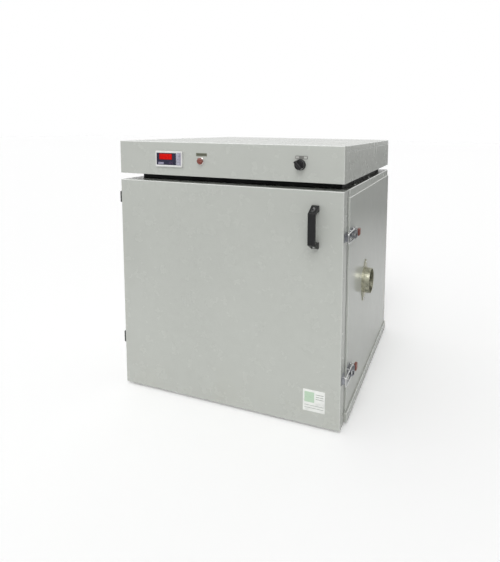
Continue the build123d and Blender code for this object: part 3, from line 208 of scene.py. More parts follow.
def makeCoatGrain():
    # powder coat: broad tone drift, fine speckle, orange-peel relief, painted highlight on edges and upward folds
    inputs = [
        ("Vector", "vector", None),
        ("Colour", "colour", (0.5, 0.5, 0.5, 1)),
        ("Edge Colour", "colour", (0.8, 0.8, 0.8, 1)),
        ("Edge", "value", 0.5),
        ("Gloss Low", "value", 0.34),
        ("Gloss High", "value", 0.46),
        ("Peel", "value", 0.35),
        ("Dust", "value", 0.0),
    ]
    group, given, wanted = makeGroup("coatGrain", inputs, [("Colour", "colour"), ("Roughness", "value"), ("Normal", "vector")])
    place = given["Vector"]
    drift = noise(group, place, 2.6, 3.0, 0.55)
    speck = noise(group, place, 1500.0, 1.0)
    peel = noise(group, place, 520.0, 2.0, 0.45)
    shade = reckon(group, "ADD", stretch(group, drift, 0.3, 0.7, 0.975, 1.02), stretch(group, speck, 0.3, 0.7, -0.02, 0.02))
    toned = addNode(group, "ShaderNodeVectorMath", operation="SCALE")
    wire(group, (given["Colour"], toned.inputs[0]), (shade, toned.inputs["Scale"]))
    # painted highlight: edges and upward folds mixed towards Edge Colour, patchy along their run
    edge = addNode(group, "ShaderNodeGroup", node_tree=edgeCatch)
    for key, value in (("Reach", 0.004), ("Fold", 1.0), ("Under", 0.2)):
        edge.inputs[key].default_value = value
    patchy = stretch(group, noise(group, place, 38.0, 3.0, 0.6), 0.3, 0.6, 0.8, 1.0)
    mask = reckon(group, "MULTIPLY", reckon(group, "MULTIPLY", edge.outputs["Mask"], patchy), given["Edge"])
    lit = blendColours(group, mask, toned.outputs[0], given["Edge Colour"])
    apart = addNode(group, "ShaderNodeSeparateXYZ")
    wire(group, (place, apart.inputs[0]))
    low = stretch(group, apart.outputs["Z"], 0.16, 0.03, 0.0, 1.0)
    film = stretch(group, noise(group, place, 9.0, 5.0, 0.65), 0.42, 0.72, 0.0, 1.0)
    settled = reckon(group, "MULTIPLY", reckon(group, "MULTIPLY", low, film), given["Dust"])
    dusty = blendColours(group, settled, lit, linear((166, 158, 140)))
    rough = stretch(group, noise(group, place, 22.0, 4.0, 0.6), 0.32, 0.68, given["Gloss Low"], given["Gloss High"])
    wire(group, (dusty, wanted["Colour"]))
    wire(group, (reckon(group, "ADD", rough, reckon(group, "MULTIPLY", settled, 0.25)), wanted["Roughness"]))
    relief = addNode(group, "ShaderNodeBump", {"Distance": 0.00022})
    wire(group, (peel, relief.inputs["Height"]), (given["Peel"], relief.inputs["Strength"]))
    wire(group, (relief.outputs[0], wanted["Normal"]))
    return group


def makeMetalGrain():
    # rolled or brushed metal: streaks along the stretched axis, cloudy roughness, bright rubbed edges
    inputs = [
        ("Vector", "vector", None),
        ("Colour", "colour", (0.6, 0.6, 0.6, 1)),
        ("Dull Colour", "colour", (0.4, 0.4, 0.4, 1)),
        ("Edge Colour", "colour", (0.8, 0.8, 0.8, 1)),
        ("Edge", "value", 0.3),
        ("Gloss Low", "value", 0.22),
        ("Gloss High", "value", 0.42),
        ("Lines", "vector", (60.0, 60.0, 1500.0)),
        ("Line Depth", "value", 0.3),
        ("Stain", "value", 0.35),
    ]
    group, given, wanted = makeGroup("metalGrain", inputs, [("Colour", "colour"), ("Roughness", "value"), ("Normal", "vector")])
    along = addNode(group, "ShaderNodeVectorMath", operation="MULTIPLY")
    wire(group, (given["Vector"], along.inputs[0]), (given["Lines"], along.inputs[1]))
    streak = noise(group, along.outputs[0], 1.0, 3.0, 0.6)
    cloud = noise(group, given["Vector"], 26.0, 4.0, 0.6)
    stained = reckon(group, "MULTIPLY", stretch(group, cloud, 0.42, 0.68, 0.0, 1.0), given["Stain"])
    body = blendColours(group, stained, given["Colour"], given["Dull Colour"])
    lined = blendColours(group, stretch(group, streak, 0.3, 0.7, 0.0, 0.28), body, given["Dull Colour"])
    edge = addNode(group, "ShaderNodeGroup", node_tree=edgeCatch)
    edge.inputs["Reach"].default_value = 0.0009
    worn = reckon(group, "MULTIPLY", edge.outputs["Mask"], given["Edge"])
    wire(group, (blendColours(group, worn, lined, given["Edge Colour"]), wanted["Colour"]))
    dull = reckon(group, "MULTIPLY", stretch(group, streak, 0.3, 0.7, 0.0, 0.5), 1.0)
    share = reckon(group, "ADD", reckon(group, "MULTIPLY", cloud, 0.5), dull)
    wire(group, (stretch(group, share, 0.2, 0.8, given["Gloss Low"], given["Gloss High"]), wanted["Roughness"]))
    relief = addNode(group, "ShaderNodeBump", {"Distance": 0.00004})
    wire(group, (streak, relief.inputs["Height"]), (given["Line Depth"], relief.inputs["Strength"]))
    wire(group, (relief.outputs[0], wanted["Normal"]))
    return group


def makeMouldGrain():
    # moulded plastic: spark-eroded grain, faint flow marks, scuffed edges
    inputs = [
        ("Vector", "vector", None),
        ("Colour", "colour", (0.1, 0.1, 0.1, 1)),
        ("Scuff Colour", "colour", (0.3, 0.3, 0.3, 1)),
        ("Scuff", "value", 0.2),
        ("Gloss Low", "value", 0.3),
        ("Gloss High", "value", 0.45),
        ("Grain", "value", 0.25),
    ]
    group, given, wanted = makeGroup("mouldGrain", inputs, [("Colour", "colour"), ("Roughness", "value"), ("Normal", "vector")])
    place = given["Vector"]
    grain = noise(group, place, 1900.0, 2.0, 0.5)
    flow = noise(group, place, 45.0, 3.0, 0.6)
    edge = addNode(group, "ShaderNodeGroup", node_tree=edgeCatch)
    edge.inputs["Reach"].default_value = 0.0008
    mask = reckon(group, "MULTIPLY", reckon(group, "MULTIPLY", edge.outputs["Mask"], stretch(group, flow, 0.35, 0.6, 0.3, 1.0)), given["Scuff"])
    toned = addNode(group, "ShaderNodeVectorMath", operation="SCALE")
    wire(group, (given["Colour"], toned.inputs[0]), (stretch(group, flow, 0.3, 0.7, 0.92, 1.08), toned.inputs["Scale"]))
    wire(group, (blendColours(group, mask, toned.outputs[0], given["Scuff Colour"]), wanted["Colour"]))
    wire(group, (stretch(group, flow, 0.3, 0.7, given["Gloss Low"], given["Gloss High"]), wanted["Roughness"]))
    relief = addNode(group, "ShaderNodeBump", {"Distance": 0.00006})
    wire(group, (grain, relief.inputs["Height"]), (given["Grain"], relief.inputs["Strength"]))
    wire(group, (relief.outputs[0], wanted["Normal"]))
    return group


def makeSpangle():
    # hot-dip zinc: crystal cells of different brightness, darker oxide between and over them
    inputs = [
        ("Vector", "vector", None),
        ("Colour", "colour", (0.6, 0.6, 0.55, 1)),
        ("Oxide Colour", "colour", (0.2, 0.2, 0.12, 1)),
        ("Cells", "value", 160.0),
        ("Oxide", "value", 0.5),
    ]
    group, given, wanted = makeGroup("spangle", inputs, [("Colour", "colour"), ("Roughness", "value"), ("Normal", "vector")])
    place = given["Vector"]
    cells = addNode(group, "ShaderNodeTexVoronoi", feature="F1")
    wire(group, (place, cells.inputs["Vector"]), (given["Cells"], cells.inputs["Scale"]))
    tone = addNode(group, "ShaderNodeSeparateColor")
    wire(group, (cells.outputs["Color"], tone.inputs[0]))
    oxide = reckon(group, "MULTIPLY", stretch(group, noise(group, place, 70.0, 5.0, 0.65), 0.4, 0.65, 0.0, 1.0), given["Oxide"])
    shade = addNode(group, "ShaderNodeVectorMath", operation="SCALE")
    wire(group, (given["Colour"], shade.inputs[0]), (stretch(group, tone.outputs[0], 0.0, 1.0, 0.78, 1.12), shade.inputs["Scale"]))
    wire(group, (blendColours(group, oxide, shade.outputs[0], given["Oxide Colour"]), wanted["Colour"]))
    wire(group, (reckon(group, "ADD", stretch(group, tone.outputs[1], 0.0, 1.0, 0.24, 0.42), reckon(group, "MULTIPLY", oxide, 0.25)), wanted["Roughness"]))
    wire(group, (bump(group, tone.outputs[2], 0.00003, 0.4), wanted["Normal"]))
    return group


def makeFibreMat():
    # pressed mineral wool and other matted stuff: crossing fibres in two directions with lumps under them
    inputs = [
        ("Vector", "vector", None),
        ("Colour", "colour", (0.5, 0.45, 0.3, 1)),
        ("Deep Colour", "colour", (0.25, 0.2, 0.12, 1)),
        ("Depth", "value", 1.0),
    ]
    group, given, wanted = makeGroup("fibreMat", inputs, [("Colour", "colour"), ("Roughness", "value"), ("Normal", "vector")])
    sums = []
    for stretchBy in ((900.0, 60.0, 240.0), (70.0, 850.0, 260.0)):
        along = addNode(group, "ShaderNodeVectorMath", {1: stretchBy}, operation="MULTIPLY")
        wire(group, (given["Vector"], along.inputs[0]))
        sums.append(noise(group, along.outputs[0], 1.0, 2.0, 0.6))
    fibre = reckon(group, "MAXIMUM", *sums)
    lump = noise(group, given["Vector"], 55.0, 4.0, 0.6)
    height = reckon(group, "ADD", fibre, reckon(group, "MULTIPLY", lump, 2.0))
    wire(group, (blendColours(group, stretch(group, fibre, 0.4, 0.75, 0.0, 1.0), given["Deep Colour"], given["Colour"]), wanted["Colour"]))
    wire(group, (stretch(group, lump, 0.2, 0.8, 0.85, 1.0), wanted["Roughness"]))
    relief = addNode(group, "ShaderNodeBump", {"Distance": 0.0006})
    wire(group, (height, relief.inputs["Height"]), (given["Depth"], relief.inputs["Strength"]))
    wire(group, (relief.outputs[0], wanted["Normal"]))
    return group


edgeCatch = makeEdgeCatch()
effects = {
    "coatGrain": makeCoatGrain(),
    "metalGrain": makeMetalGrain(),
    "mouldGrain": makeMouldGrain(),
    "spangle": makeSpangle(),
    "fibreMat": makeFibreMat(),
}
print("effects made")


# ---- materials ----


def makeFinish(name, effect, given, shader):
    material = bpy.data.materials.new(name)
    material.use_nodes = True
    tree = material.node_tree
    principled = tree.nodes["Principled BSDF"]
    place = addNode(tree, "ShaderNodeTexCoord")
    group = addNode(tree, "ShaderNodeGroup", node_tree=effects[effect])
    wire(tree, (place.outputs["Object"], group.inputs["Vector"]))
    for key, value in given.items():
        group.inputs[key].default_value = value
    for output, socket in (("Colour", "Base Color"), ("Roughness", "Roughness"), ("Normal", "Normal")):
        wire(tree, (group.outputs[output], principled.inputs[socket]))
    for key, value in shader.items():
        principled.inputs[key].default_value = value
    return material


finishLooks = {
    # on the coat finishes, Edge Colour and Edge set a painted highlight along edges and upward folds
    "shellPaint": (
        "coatGrain",
        {"Colour": linear((190, 193, 187)), "Edge Colour": linear((252, 254, 251)), "Edge": 0.95, "Gloss Low": 0.22, "Gloss High": 0.29, "Peel": 0.2, "Dust": 0.1},
        {"Specular IOR Level": 0.5},
    ),
    "coverPaint": (
        "coatGrain",
        {"Colour": linear((186, 189, 183)), "Edge Colour": linear((246, 248, 244)), "Edge": 0.8, "Gloss Low": 0.13, "Gloss High": 0.19, "Peel": 0.12, "Dust": 0.1},
        {"Specular IOR Level": 0.5},
    ),
    # plinth: dark coat deepened to near black as painted shade of the narrow gap under the header
    "plinthPaintShade": (
        "coatGrain",
        {"Colour": linear((14, 15, 15)), "Edge Colour": linear((40, 41, 42)), "Edge": 0.4, "Gloss Low": 0.45, "Gloss High": 0.6, "Peel": 0.4, "Dust": 0.1},
        {"Specular IOR Level": 0.25},
    ),
    "darkPaint": (
        "coatGrain",
        {"Colour": linear((34, 35, 37)), "Edge Colour": linear((86, 88, 90)), "Edge": 0.5, "Gloss Low": 0.38, "Gloss High": 0.5, "Peel": 0.4, "Dust": 0.15},
        {"Specular IOR Level": 0.4},
    ),
    "chamberSteel": (
        "metalGrain",
        {"Colour": linear((205, 206, 204)), "Dull Colour": linear((150, 150, 146)), "Edge Colour": linear((235, 235, 232)), "Lines": (40.0, 40.0, 1400.0), "Gloss Low": 0.24, "Gloss High": 0.4, "Stain": 0.25},
        {"Metallic": 1.0},
    ),
    "rodSteel": (
        "metalGrain",
        {"Colour": linear((214, 215, 214)), "Dull Colour": linear((160, 160, 156)), "Edge Colour": linear((235, 235, 232)), "Lines": (500.0, 60.0, 500.0), "Gloss Low": 0.16, "Gloss High": 0.3, "Stain": 0.2},
        {"Metallic": 1.0},
    ),
    "zincSheet": (
        "spangle",
        {"Colour": linear((196, 195, 176)), "Oxide Colour": linear((92, 92, 66)), "Cells": 170.0, "Oxide": 0.45},
        {"Metallic": 0.9},
    ),
    "latchSteel": (
        "metalGrain",
        {"Colour": linear((176, 178, 184)), "Dull Colour": linear((70, 73, 82)), "Edge Colour": linear((240, 241, 244)), "Edge": 0.7, "Lines": (700.0, 700.0, 60.0), "Gloss Low": 0.2, "Gloss High": 0.36, "Stain": 0.8},
        {"Metallic": 0.9},
    ),
    "zincPlate": (
        "metalGrain",
        {"Colour": linear((222, 223, 222)), "Dull Colour": linear((168, 170, 172)), "Edge Colour": linear((245, 245, 244)), "Edge": 0.4, "Lines": (600.0, 600.0, 120.0), "Gloss Low": 0.14, "Gloss High": 0.28, "Stain": 0.3},
        {"Metallic": 1.0},
    ),
    "gripPlastic": (
        "mouldGrain",
        {"Colour": linear((122, 52, 30)), "Scuff Colour": linear((206, 148, 122)), "Scuff": 0.5, "Gloss Low": 0.3, "Gloss High": 0.42, "Grain": 0.3},
        {"Coat Weight": 0.3, "Coat Roughness": 0.25},
    ),
    "blackPlastic": (
        "mouldGrain",
        {"Colour": linear((22, 23, 24)), "Scuff Colour": linear((92, 94, 96)), "Scuff": 0.35, "Gloss Low": 0.34, "Gloss High": 0.46, "Grain": 0.4},
        {"Specular IOR Level": 0.45},
    ),
    "knobPlastic": (
        "mouldGrain",
        {"Colour": linear((20, 20, 22)), "Scuff Colour": linear((110, 110, 112)), "Scuff": 0.3, "Gloss Low": 0.2, "Gloss High": 0.3, "Grain": 0.12},
        {"Coat Weight": 0.4, "Coat Roughness": 0.15},
    ),
    "wool": (
        "fibreMat",
        {"Colour": linear((196, 182, 138)), "Deep Colour": linear((120, 104, 66)), "Depth": 1.0},
        {"Specular IOR Level": 0.1},
    ),
    "siliconeRed": (
        "mouldGrain",
        {"Colour": linear((142, 58, 44)), "Scuff Colour": linear((186, 150, 140)), "Scuff": 0.3, "Gloss Low": 0.5, "Gloss High": 0.68, "Grain": 0.3},
        {"Specular IOR Level": 0.35},
    ),
    "heaterSteel": (
        "metalGrain",
        {"Colour": linear((118, 106, 98)), "Dull Colour": linear((58, 46, 42)), "Edge Colour": linear((160, 150, 140)), "Lines": (300.0, 300.0, 300.0), "Gloss Low": 0.38, "Gloss High": 0.6, "Stain": 0.9},
        {"Metallic": 0.85},
    ),
    "castMetal": (
        "metalGrain",
        {"Colour": linear((188, 189, 191)), "Dull Colour": linear((132, 133, 136)), "Edge Colour": linear((224, 224, 226)), "Lines": (900.0, 900.0, 900.0), "Line Depth": 1.0, "Gloss Low": 0.36, "Gloss High": 0.52, "Stain": 0.4},
        {"Metallic": 0.95},
    ),
    "probeSteel": (
        "metalGrain",
        {"Colour": linear((204, 205, 206)), "Dull Colour": linear((148, 146, 142)), "Edge Colour": linear((236, 236, 236)), "Lines": (80.0, 80.0, 1800.0), "Gloss Low": 0.16, "Gloss High": 0.28, "Stain": 0.3},
        {"Metallic": 1.0},
    ),
    "bezelPlastic": (
        "mouldGrain",
        {"Colour": linear((226, 226, 224)), "Scuff Colour": linear((250, 250, 250)), "Scuff": 0.6, "Gloss Low": 0.32, "Gloss High": 0.44, "Grain": 0.3},
        {"Specular IOR Level": 0.45},
    ),
    "smokedWindow": (
        "mouldGrain",
        {"Colour": linear((40, 38, 62)), "Scuff Colour": linear((96, 92, 130)), "Scuff": 0.4, "Gloss Low": 0.1, "Gloss High": 0.2, "Grain": 0.04},
        {"Coat Weight": 0.6, "Coat Roughness": 0.06},
    ),
    "keyPlastic": (
        "mouldGrain",
        {"Colour": linear((176, 174, 190)), "Scuff Colour": linear((216, 214, 224)), "Scuff": 0.5, "Gloss Low": 0.4, "Gloss High": 0.55, "Grain": 0.4},
        {"Specular IOR Level": 0.4},
    ),
    "lampChrome": (
        "metalGrain",
        {"Colour": linear((236, 232, 228)), "Dull Colour": linear((200, 192, 186)), "Edge Colour": linear((250, 250, 248)), "Lines": (90.0, 90.0, 90.0), "Gloss Low": 0.1, "Gloss High": 0.22, "Stain": 0.2},
        {"Metallic": 0.85},
    ),
    "amberLens": (
        "mouldGrain",
        {"Colour": linear((128, 52, 34)), "Scuff Colour": linear((196, 120, 92)), "Scuff": 0.3, "Gloss Low": 0.08, "Gloss High": 0.16, "Grain": 0.05},
        {"Coat Weight": 0.8, "Coat Roughness": 0.05, "Subsurface Weight": 0.3, "Subsurface Scale": 0.004},
    ),
}
finishes = {name: makeFinish(name, *look) for name, look in finishLooks.items()}


def bandMask(tree, value, low, high, soft):
    # 1 between low and high, falling to 0 over the soft width on each side
    rise = stretch(tree, value, low - soft, low, 0.0, 1.0)
    fall = stretch(tree, value, high, high + soft, 1.0, 0.0)
    return reckon(tree, "MULTIPLY", rise, fall)


def makePrint(name, base, bands, shader, effect="mouldGrain", given=None):
    # a finish with plain bands over it: each band is a colour between two x and two z limits
    material = makeFinish(name, effect, {"Colour": base, **(given or {})}, shader)
    tree = material.node_tree
    principled = tree.nodes["Principled BSDF"]
    colour = principled.inputs["Base Color"].links[0].from_socket
    place = next(node for node in tree.nodes if node.type == "TEX_COORD")
    apart = addNode(tree, "ShaderNodeSeparateXYZ")
    wire(tree, (place.outputs["Object"], apart.inputs[0]))
    for left, right, bottom, top, soft, ink in bands:
        acrossMask = bandMask(tree, apart.outputs["X"], left * mm, right * mm, soft * mm)
        upMask = bandMask(tree, apart.outputs["Z"], bottom * mm, top * mm, soft * mm)
        colour = blendColours(tree, reckon(tree, "MULTIPLY", acrossMask, upMask), colour, ink)
    wire(tree, (colour, principled.inputs["Base Color"]))
    return material


# painted shade: the casing's roof, under the header, gets a dark band over the light coat where the header shades it
finishes["wrapPaintRoofShade"] = makePrint(
    "wrapPaintRoofShade",
    linear((190, 193, 187)),
    [(-376.5, 376.5, 711.4, 713.0, 0.4, linear((84, 86, 80)))],
    {"Specular IOR Level": 0.5},
    "coatGrain",
    {"Edge Colour": linear((252, 254, 251)), "Edge": 0.95, "Gloss Low": 0.22, "Gloss High": 0.29, "Peel": 0.2, "Dust": 0.1},
)

slotFinish = {
    "light_paint": "shellPaint",
    "dark_paint": "darkPaint",
    "inner_steel": "chamberSteel",
    "galvanised_sheet": "zincSheet",
    "latch_steel": "latchSteel",
    "zinc_plate": "zincPlate",
    "grip_plastic": "gripPlastic",
    "black_plastic": "blackPlastic",
    "knob_plastic": "knobPlastic",
    "mineral_wool": "wool",
    "silicone": "siliconeRed",
    "heater_tube": "heaterSteel",
    "cast_alloy": "castMetal",
    "probe_steel": "probeSteel",
    "bezel_plastic": "bezelPlastic",
    "dark_window": "smokedWindow",
    "key_plastic": "keyPlastic",
    "lamp_chrome": "lampChrome",
    "amber_lens": "amberLens",
}
nodeFinish = {
    "shelf_upper": "rodSteel",
    "shelf_lower": "rodSteel",
    "side_cover_left": "coverPaint",
    "side_cover_right": "coverPaint",
    "plinth": "plinthPaintShade",
    "casing_wrap": "wrapPaintRoofShade",
}

for nodeName, part in nodes.items():
    finish = finishes[nodeFinish.get(nodeName, slotFinish[slotOf[nodeName]])]
    for holder in part.material_slots:
        holder.material = finish
    if not part.material_slots:
        part.data.materials.append(finish)
print("finishes given to the CAD parts")


# ---- surfaces for the small pieces ----


def makePiece(name, points, faces, material, body, standsFor=(), sharp=35.0):
    mesh = bpy.data.meshes.new(name)
    mesh.from_pydata((np.asarray(points) * mm).tolist(), [], faces)
    mesh.shade_smooth()
    mesh.set_sharp_from_angle(angle=math.radians(sharp))
    mesh.materials.append(material)
    piece = bpy.data.objects.new(name, mesh)
    scene.collection.objects.link(piece)
    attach(piece, body)
    if standsFor:
        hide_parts(*standsFor)
    return piece


def ringFaces(rings, around):
    # rings of points between two poles: a fan at the first pole, quads between rings, a fan at the last pole
    step = np.arange(around)
    after = (step + 1) % around
    first = 1 + step
    last = 1 + (rings - 1) * around
    faces = np.stack([np.zeros_like(step), first, 1 + after], 1).tolist()
    for ring in range(rings - 1):
        inner, outer = 1 + ring * around, 1 + (ring + 1) * around
        faces += np.stack([inner + step, outer + step, outer + after, inner + after], 1).tolist()
    end = 1 + rings * around
    faces += np.stack([np.full_like(step, end), last + after, last + step], 1).tolist()
    return faces


def standOn(points, origin, axis, turn=0.0):
    # local x, y across and z along the axis, turned about it, carried to the origin
    out = Vector(axis).normalized()
    across = Vector((0, 0, 1)) if abs(out.z) < 0.9 else Vector((1, 0, 0))
    side = across.cross(out).normalized()
    up = out.cross(side)
    side, up = side * math.cos(turn) + up * math.sin(turn), up * math.cos(turn) - side * math.sin(turn)
    basis = np.array([side, up, out])
    return np.asarray(points) @ basis + np.asarray(origin, float)


def gather(shapes):
    # several shapes of the same faces set side by side in one mesh
    points, faces, count = [], [], 0
    for shapePoints, shapeFaces in shapes:
        points.append(shapePoints)
        faces += [[index + count for index in face] for face in shapeFaces]
        count += len(shapePoints)
    return np.concatenate(points), faces


screwLook = {
    "headRadius": 3.6,
    "headRise": 2.2,
    "shank": 1.6,
    "length": 3.4,
    "armHalf": 0.42,
    "armReach": 2.1,
    "recess": 1.3,
    "around": 48,
    "rings": 15,
}


def crossHeadScrew(look):
    # head height = rise * (1 - (radius / edge) ** 4) ** 0.5, less recess * narrow * short, where narrow falls from 1 to 0
    # as the nearer axis distance passes the arm's half width and short does as the further one passes its reach
    turn = np.linspace(0, 2 * np.pi, look["around"], endpoint=False)
    reach = np.linspace(0, 1, look["rings"] + 1)[1:] * look["headRadius"]
    radius, angle = np.meshgrid(reach, turn, indexing="ij")
    x, y = radius * np.cos(angle), radius * np.sin(angle)
    near, far = np.minimum(abs(x), abs(y)), np.maximum(abs(x), abs(y))
    narrow = np.clip((look["armHalf"] * 1.5 - near) / look["armHalf"], 0, 1)
    short = np.clip((look["armReach"] - far) / (look["armReach"] * 0.6), 0, 1)
    z = look["headRise"] * np.sqrt(1 - (radius / look["headRadius"]) ** 4) - look["recess"] * narrow * short
    head = np.stack([x, y, z], 2).reshape(-1, 3)
    centre = np.array([[0, 0, look["headRise"] - look["recess"]]])
    across = np.stack([np.cos(turn), np.sin(turn), np.zeros_like(turn)], 1)
    collar = across * look["shank"]
    foot = collar - (0, 0, look["length"])
    tip = np.array([[0, 0, -look["length"] - 0.8]])
    points = np.concatenate([centre, head, collar, foot, tip])
    return points, ringFaces(look["rings"] + 2, look["around"])


def screwsAt(places):
    points, faces = crossHeadScrew(screwLook)
    return gather([(standOn(points, origin, axis, turn), faces) for origin, axis, turn in places])


rightward, leftward, upward = (1, 0, 0), (-1, 0, 0), (0, 0, 1)
latchRows = (580 - 10.9, 580 + 10.9, 158 - 10.9, 158 + 10.9)
casingPlaces = [((386.5, y, z), rightward) for z in latchRows for y in (-311.9, -279.0)]
casingPlaces += [((386.5, -74.96, 431.68), rightward), ((386.5, -108.04, 316.32), rightward)]
casingPlaces += [((-386.5, y, z), leftward) for y in (-307.0, -287.0) for z in (650, 160)]
casingPlaces += [((x, y, 712.0), upward) for x in (-367, 367) for y in (-192.5, 26.5)]
doorPlaces = [((382.5, y, z), rightward) for y in (-351.31, -341.05) for z in (580, 158)]
doorPlaces += [((-382.5, y, z), leftward) for y in (-341.5, -361.5) for z in (650, 160)]


def turned(places, start):
    # each head stopped at its own angle: start plus 67 degrees more per screw
    return [(origin, axis, math.radians(start + 67 * index)) for index, (origin, axis) in enumerate(places)]


for name, places, body, start in (
    ("casingScrewHeads", turned(casingPlaces, 12), "cabinet", "casing_screws"),
    ("doorScrewHeads", turned(doorPlaces, 31), "door", "door_screws"),
):
    points, faces = screwsAt(places)
    makePiece(name, points, faces, finishes["zincPlate"], body, [start])
    print(name, len(places))


# ---- label plates, sticker, display and key plate ----


def roundedLoop(width, height, radius, perCorner=6):
    # four quarter circles joined by straight runs, counter-clockwise from the right-hand side
    quarter = np.linspace(0, np.pi / 2, perCorner)
    corners = [(1, 1), (-1, 1), (-1, -1), (1, -1)]
    loop = []
    for index, (signX, signY) in enumerate(corners):
        angle = quarter + index * np.pi / 2
        centre = np.array([signX * (width / 2 - radius), signY * (height / 2 - radius)])
        loop.append(np.stack([np.cos(angle), np.sin(angle)], 1) * radius + centre)
    return np.concatenate(loop)


def plateSurface(width, height, radius, profile):
    # rounded rectangles drawn in by each inset of the profile and raised to its level, closed at both middles
    rings = []
    for inset, level in profile:
        loop = roundedLoop(width - 2 * inset, height - 2 * inset, max(radius - inset, 0.05))
        rings.append(np.column_stack([loop, np.full(len(loop), level)]))
    around = len(rings[0])
    start = np.array([[0, 0, profile[0][1]]])
    end = np.array([[0, 0, profile[-1][1]]])
    points = np.concatenate([start, *rings, end])
    return points, [face[::-1] for face in ringFaces(len(rings), around)]


def plateOnFront(name, look, material, body):
    width, height = look["right"] - look["left"], look["top"] - look["bottom"]
    points, faces = plateSurface(width, height, look["radius"], look["profile"])
    middle = ((look["left"] + look["right"]) / 2, look["plane"], (look["top"] + look["bottom"]) / 2)
    x, y, z = points.T
    placed = np.stack([x, -z, y], 1) + np.array(middle)
    return makePiece(name, placed, faces, material, body)


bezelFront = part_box("controller_housing")[0].y / mm
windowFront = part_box("controller_window")[0].y / mm
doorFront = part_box("door_skin")[0].y / mm
print("fronts: bezel", round(bezelFront, 3), "window", round(windowFront, 3), "door", round(doorFront, 3))

lampLabel = {
    "left": -91.0,
    "right": -53.0,
    "bottom": 797.0,
    "top": 806.5,
    "radius": 1.0,
    "plane": doorFront,
    "profile": ((0, 0.02), (0, 0.4), (0.2, 0.55), (0.9, 0.55), (1.0, 0.45), (4.0, 0.45)),
}
selectorLabel = {
    "left": 235.0,
    "right": 273.0,
    "bottom": 799.0,
    "top": 808.5,
    "radius": 3.0,
    "plane": doorFront,
    "profile": ((0, 0.02), (0, 0.4), (0.2, 0.6), (0.9, 0.6), (1.1, 0.4), (4.0, 0.4)),
}
stickerLook = {
    "left": 266.0,
    "right": 334.0,
    "bottom": 52.0,
    "top": 119.0,
    "radius": 2.0,
    "plane": doorFront,
    "profile": ((0, 0.02), (0, 0.12), (0.15, 0.18), (33.0, 0.18)),
}

lampLabelPrint = makePrint(
    "lampLabelPrint",
    linear((118, 120, 106)),
    [(-88.5, -55.5, 799.2, 804.4, 0.3, linear((96, 98, 84)))],
    {"Specular IOR Level": 0.3},
    given={"Scuff Colour": linear((160, 162, 150)), "Gloss Low": 0.4, "Gloss High": 0.55},
)
selectorLabelPrint = makePrint(
    "selectorLabelPrint",
    linear((128, 128, 124)),
    [
        (237.0, 246.5, 801.0, 806.5, 0.5, linear((190, 190, 186))),
        (261.5, 270.5, 801.0, 806.5, 0.5, linear((194, 196, 190))),
    ],
    {"Specular IOR Level": 0.3},
    given={"Scuff Colour": linear((96, 96, 92)), "Gloss Low": 0.4, "Gloss High": 0.55},
)
stickerPrint = makePrint(
    "stickerPrint",
    linear((236, 238, 234)),
    [
        (271.0, 301.0, 80.0, 112.0, 0.3, linear((190, 214, 190))),
        (306.0, 330.0, 105.5, 107.0, 0.2, linear((150, 156, 150))),
        (306.0, 330.0, 98.5, 100.0, 0.2, linear((150, 156, 150))),
        (306.0, 330.0, 91.5, 93.0, 0.2, linear((150, 156, 150))),
        (271.0, 330.0, 70.0, 71.2, 0.2, linear((150, 156, 150))),
        (271.0, 330.0, 62.0, 63.2, 0.2, linear((150, 156, 150))),
    ],
    {"Specular IOR Level": 0.5},
    given={"Scuff Colour": linear((248, 248, 246)), "Gloss Low": 0.25, "Gloss High": 0.35, "Grain": 0.1},
)
plateOnFront("lampLabelPlate", lampLabel, lampLabelPrint, "cabinet")
plateOnFront("selectorLabelPlate", selectorLabel, selectorLabelPrint, "cabinet")
plateOnFront("doorSticker", stickerLook, stickerPrint, "door")
print("labels placed")

lampCapLook = {"x": -75.0, "z": 782.0, "plane": doorFront - 4.0, "radius": 10.6, "rise": 6.0, "rim": 1.2, "ribs": 20, "ribDepth": 0.35, "around": 120, "rings": 14}


def lampCap(look):
    # height = rim + (rise - rim) * (1 - (radius / edge) ** 2.6) ** 0.6, with ribs running out from the middle:
    # depth * cos(ribs * angle) * (radius / edge), and a plain rim below
    turn = np.linspace(0, 2 * np.pi, look["around"], endpoint=False)
    share = np.linspace(0, 1, look["rings"] + 1)[1:]
    radius, angle = np.meshgrid(share, turn, indexing="ij")
    z = look["rim"] + (look["rise"] - look["rim"]) * np.clip(1 - radius**2.6, 0, 1) ** 0.6
    z = z + look["ribDepth"] * np.cos(look["ribs"] * angle) * radius * (1 - radius**6)
    across = np.stack([radius * np.cos(angle) * look["radius"], radius * np.sin(angle) * look["radius"], z], 2)
    foot = across[-1].copy()
    foot[:, 2] = 0.05
    points = np.concatenate([[[0, 0, look["rise"]]], across.reshape(-1, 3), foot, [[0, 0, 0.05]]])
    return points, ringFaces(look["rings"] + 1, look["around"])


capPoints, capFaces = lampCap(lampCapLook)
capPlace = (lampCapLook["x"], lampCapLook["plane"], lampCapLook["z"])
makePiece("lampCap", standOn(capPoints, capPlace, (0, -1, 0)), capFaces, finishes["amberLens"], "cabinet", ["lamp_lens"])

displayLook = {
    "left": -222.2,
    "right": -174.5,
    "bottom": 782.6,
    "top": 802.0,
    "radius": 1.2,
    "plane": windowFront,
    "profile": ((0, 0.02), (0, 0.15), (0.2, 0.25), (9.0, 0.25)),
    "digitHigh": 14.0,
    "digitWide": 8.2,
    "digitPitch": 11.2,
    "bar": 2.1,
    "lean": 0.1,
    "relief": 0.12,
}
lowerRow = {"left": -190.0, "bottom": 768.6, "digitHigh": 8.0, "digitWide": 4.6, "digitPitch": 6.6, "bar": 1.0, "lean": 0.1, "relief": 0.12}
segmentsOf = {"0": "abcdef", "1": "bc", "2": "abdeg", "5": "acdfg", "8": "abcdefg"}


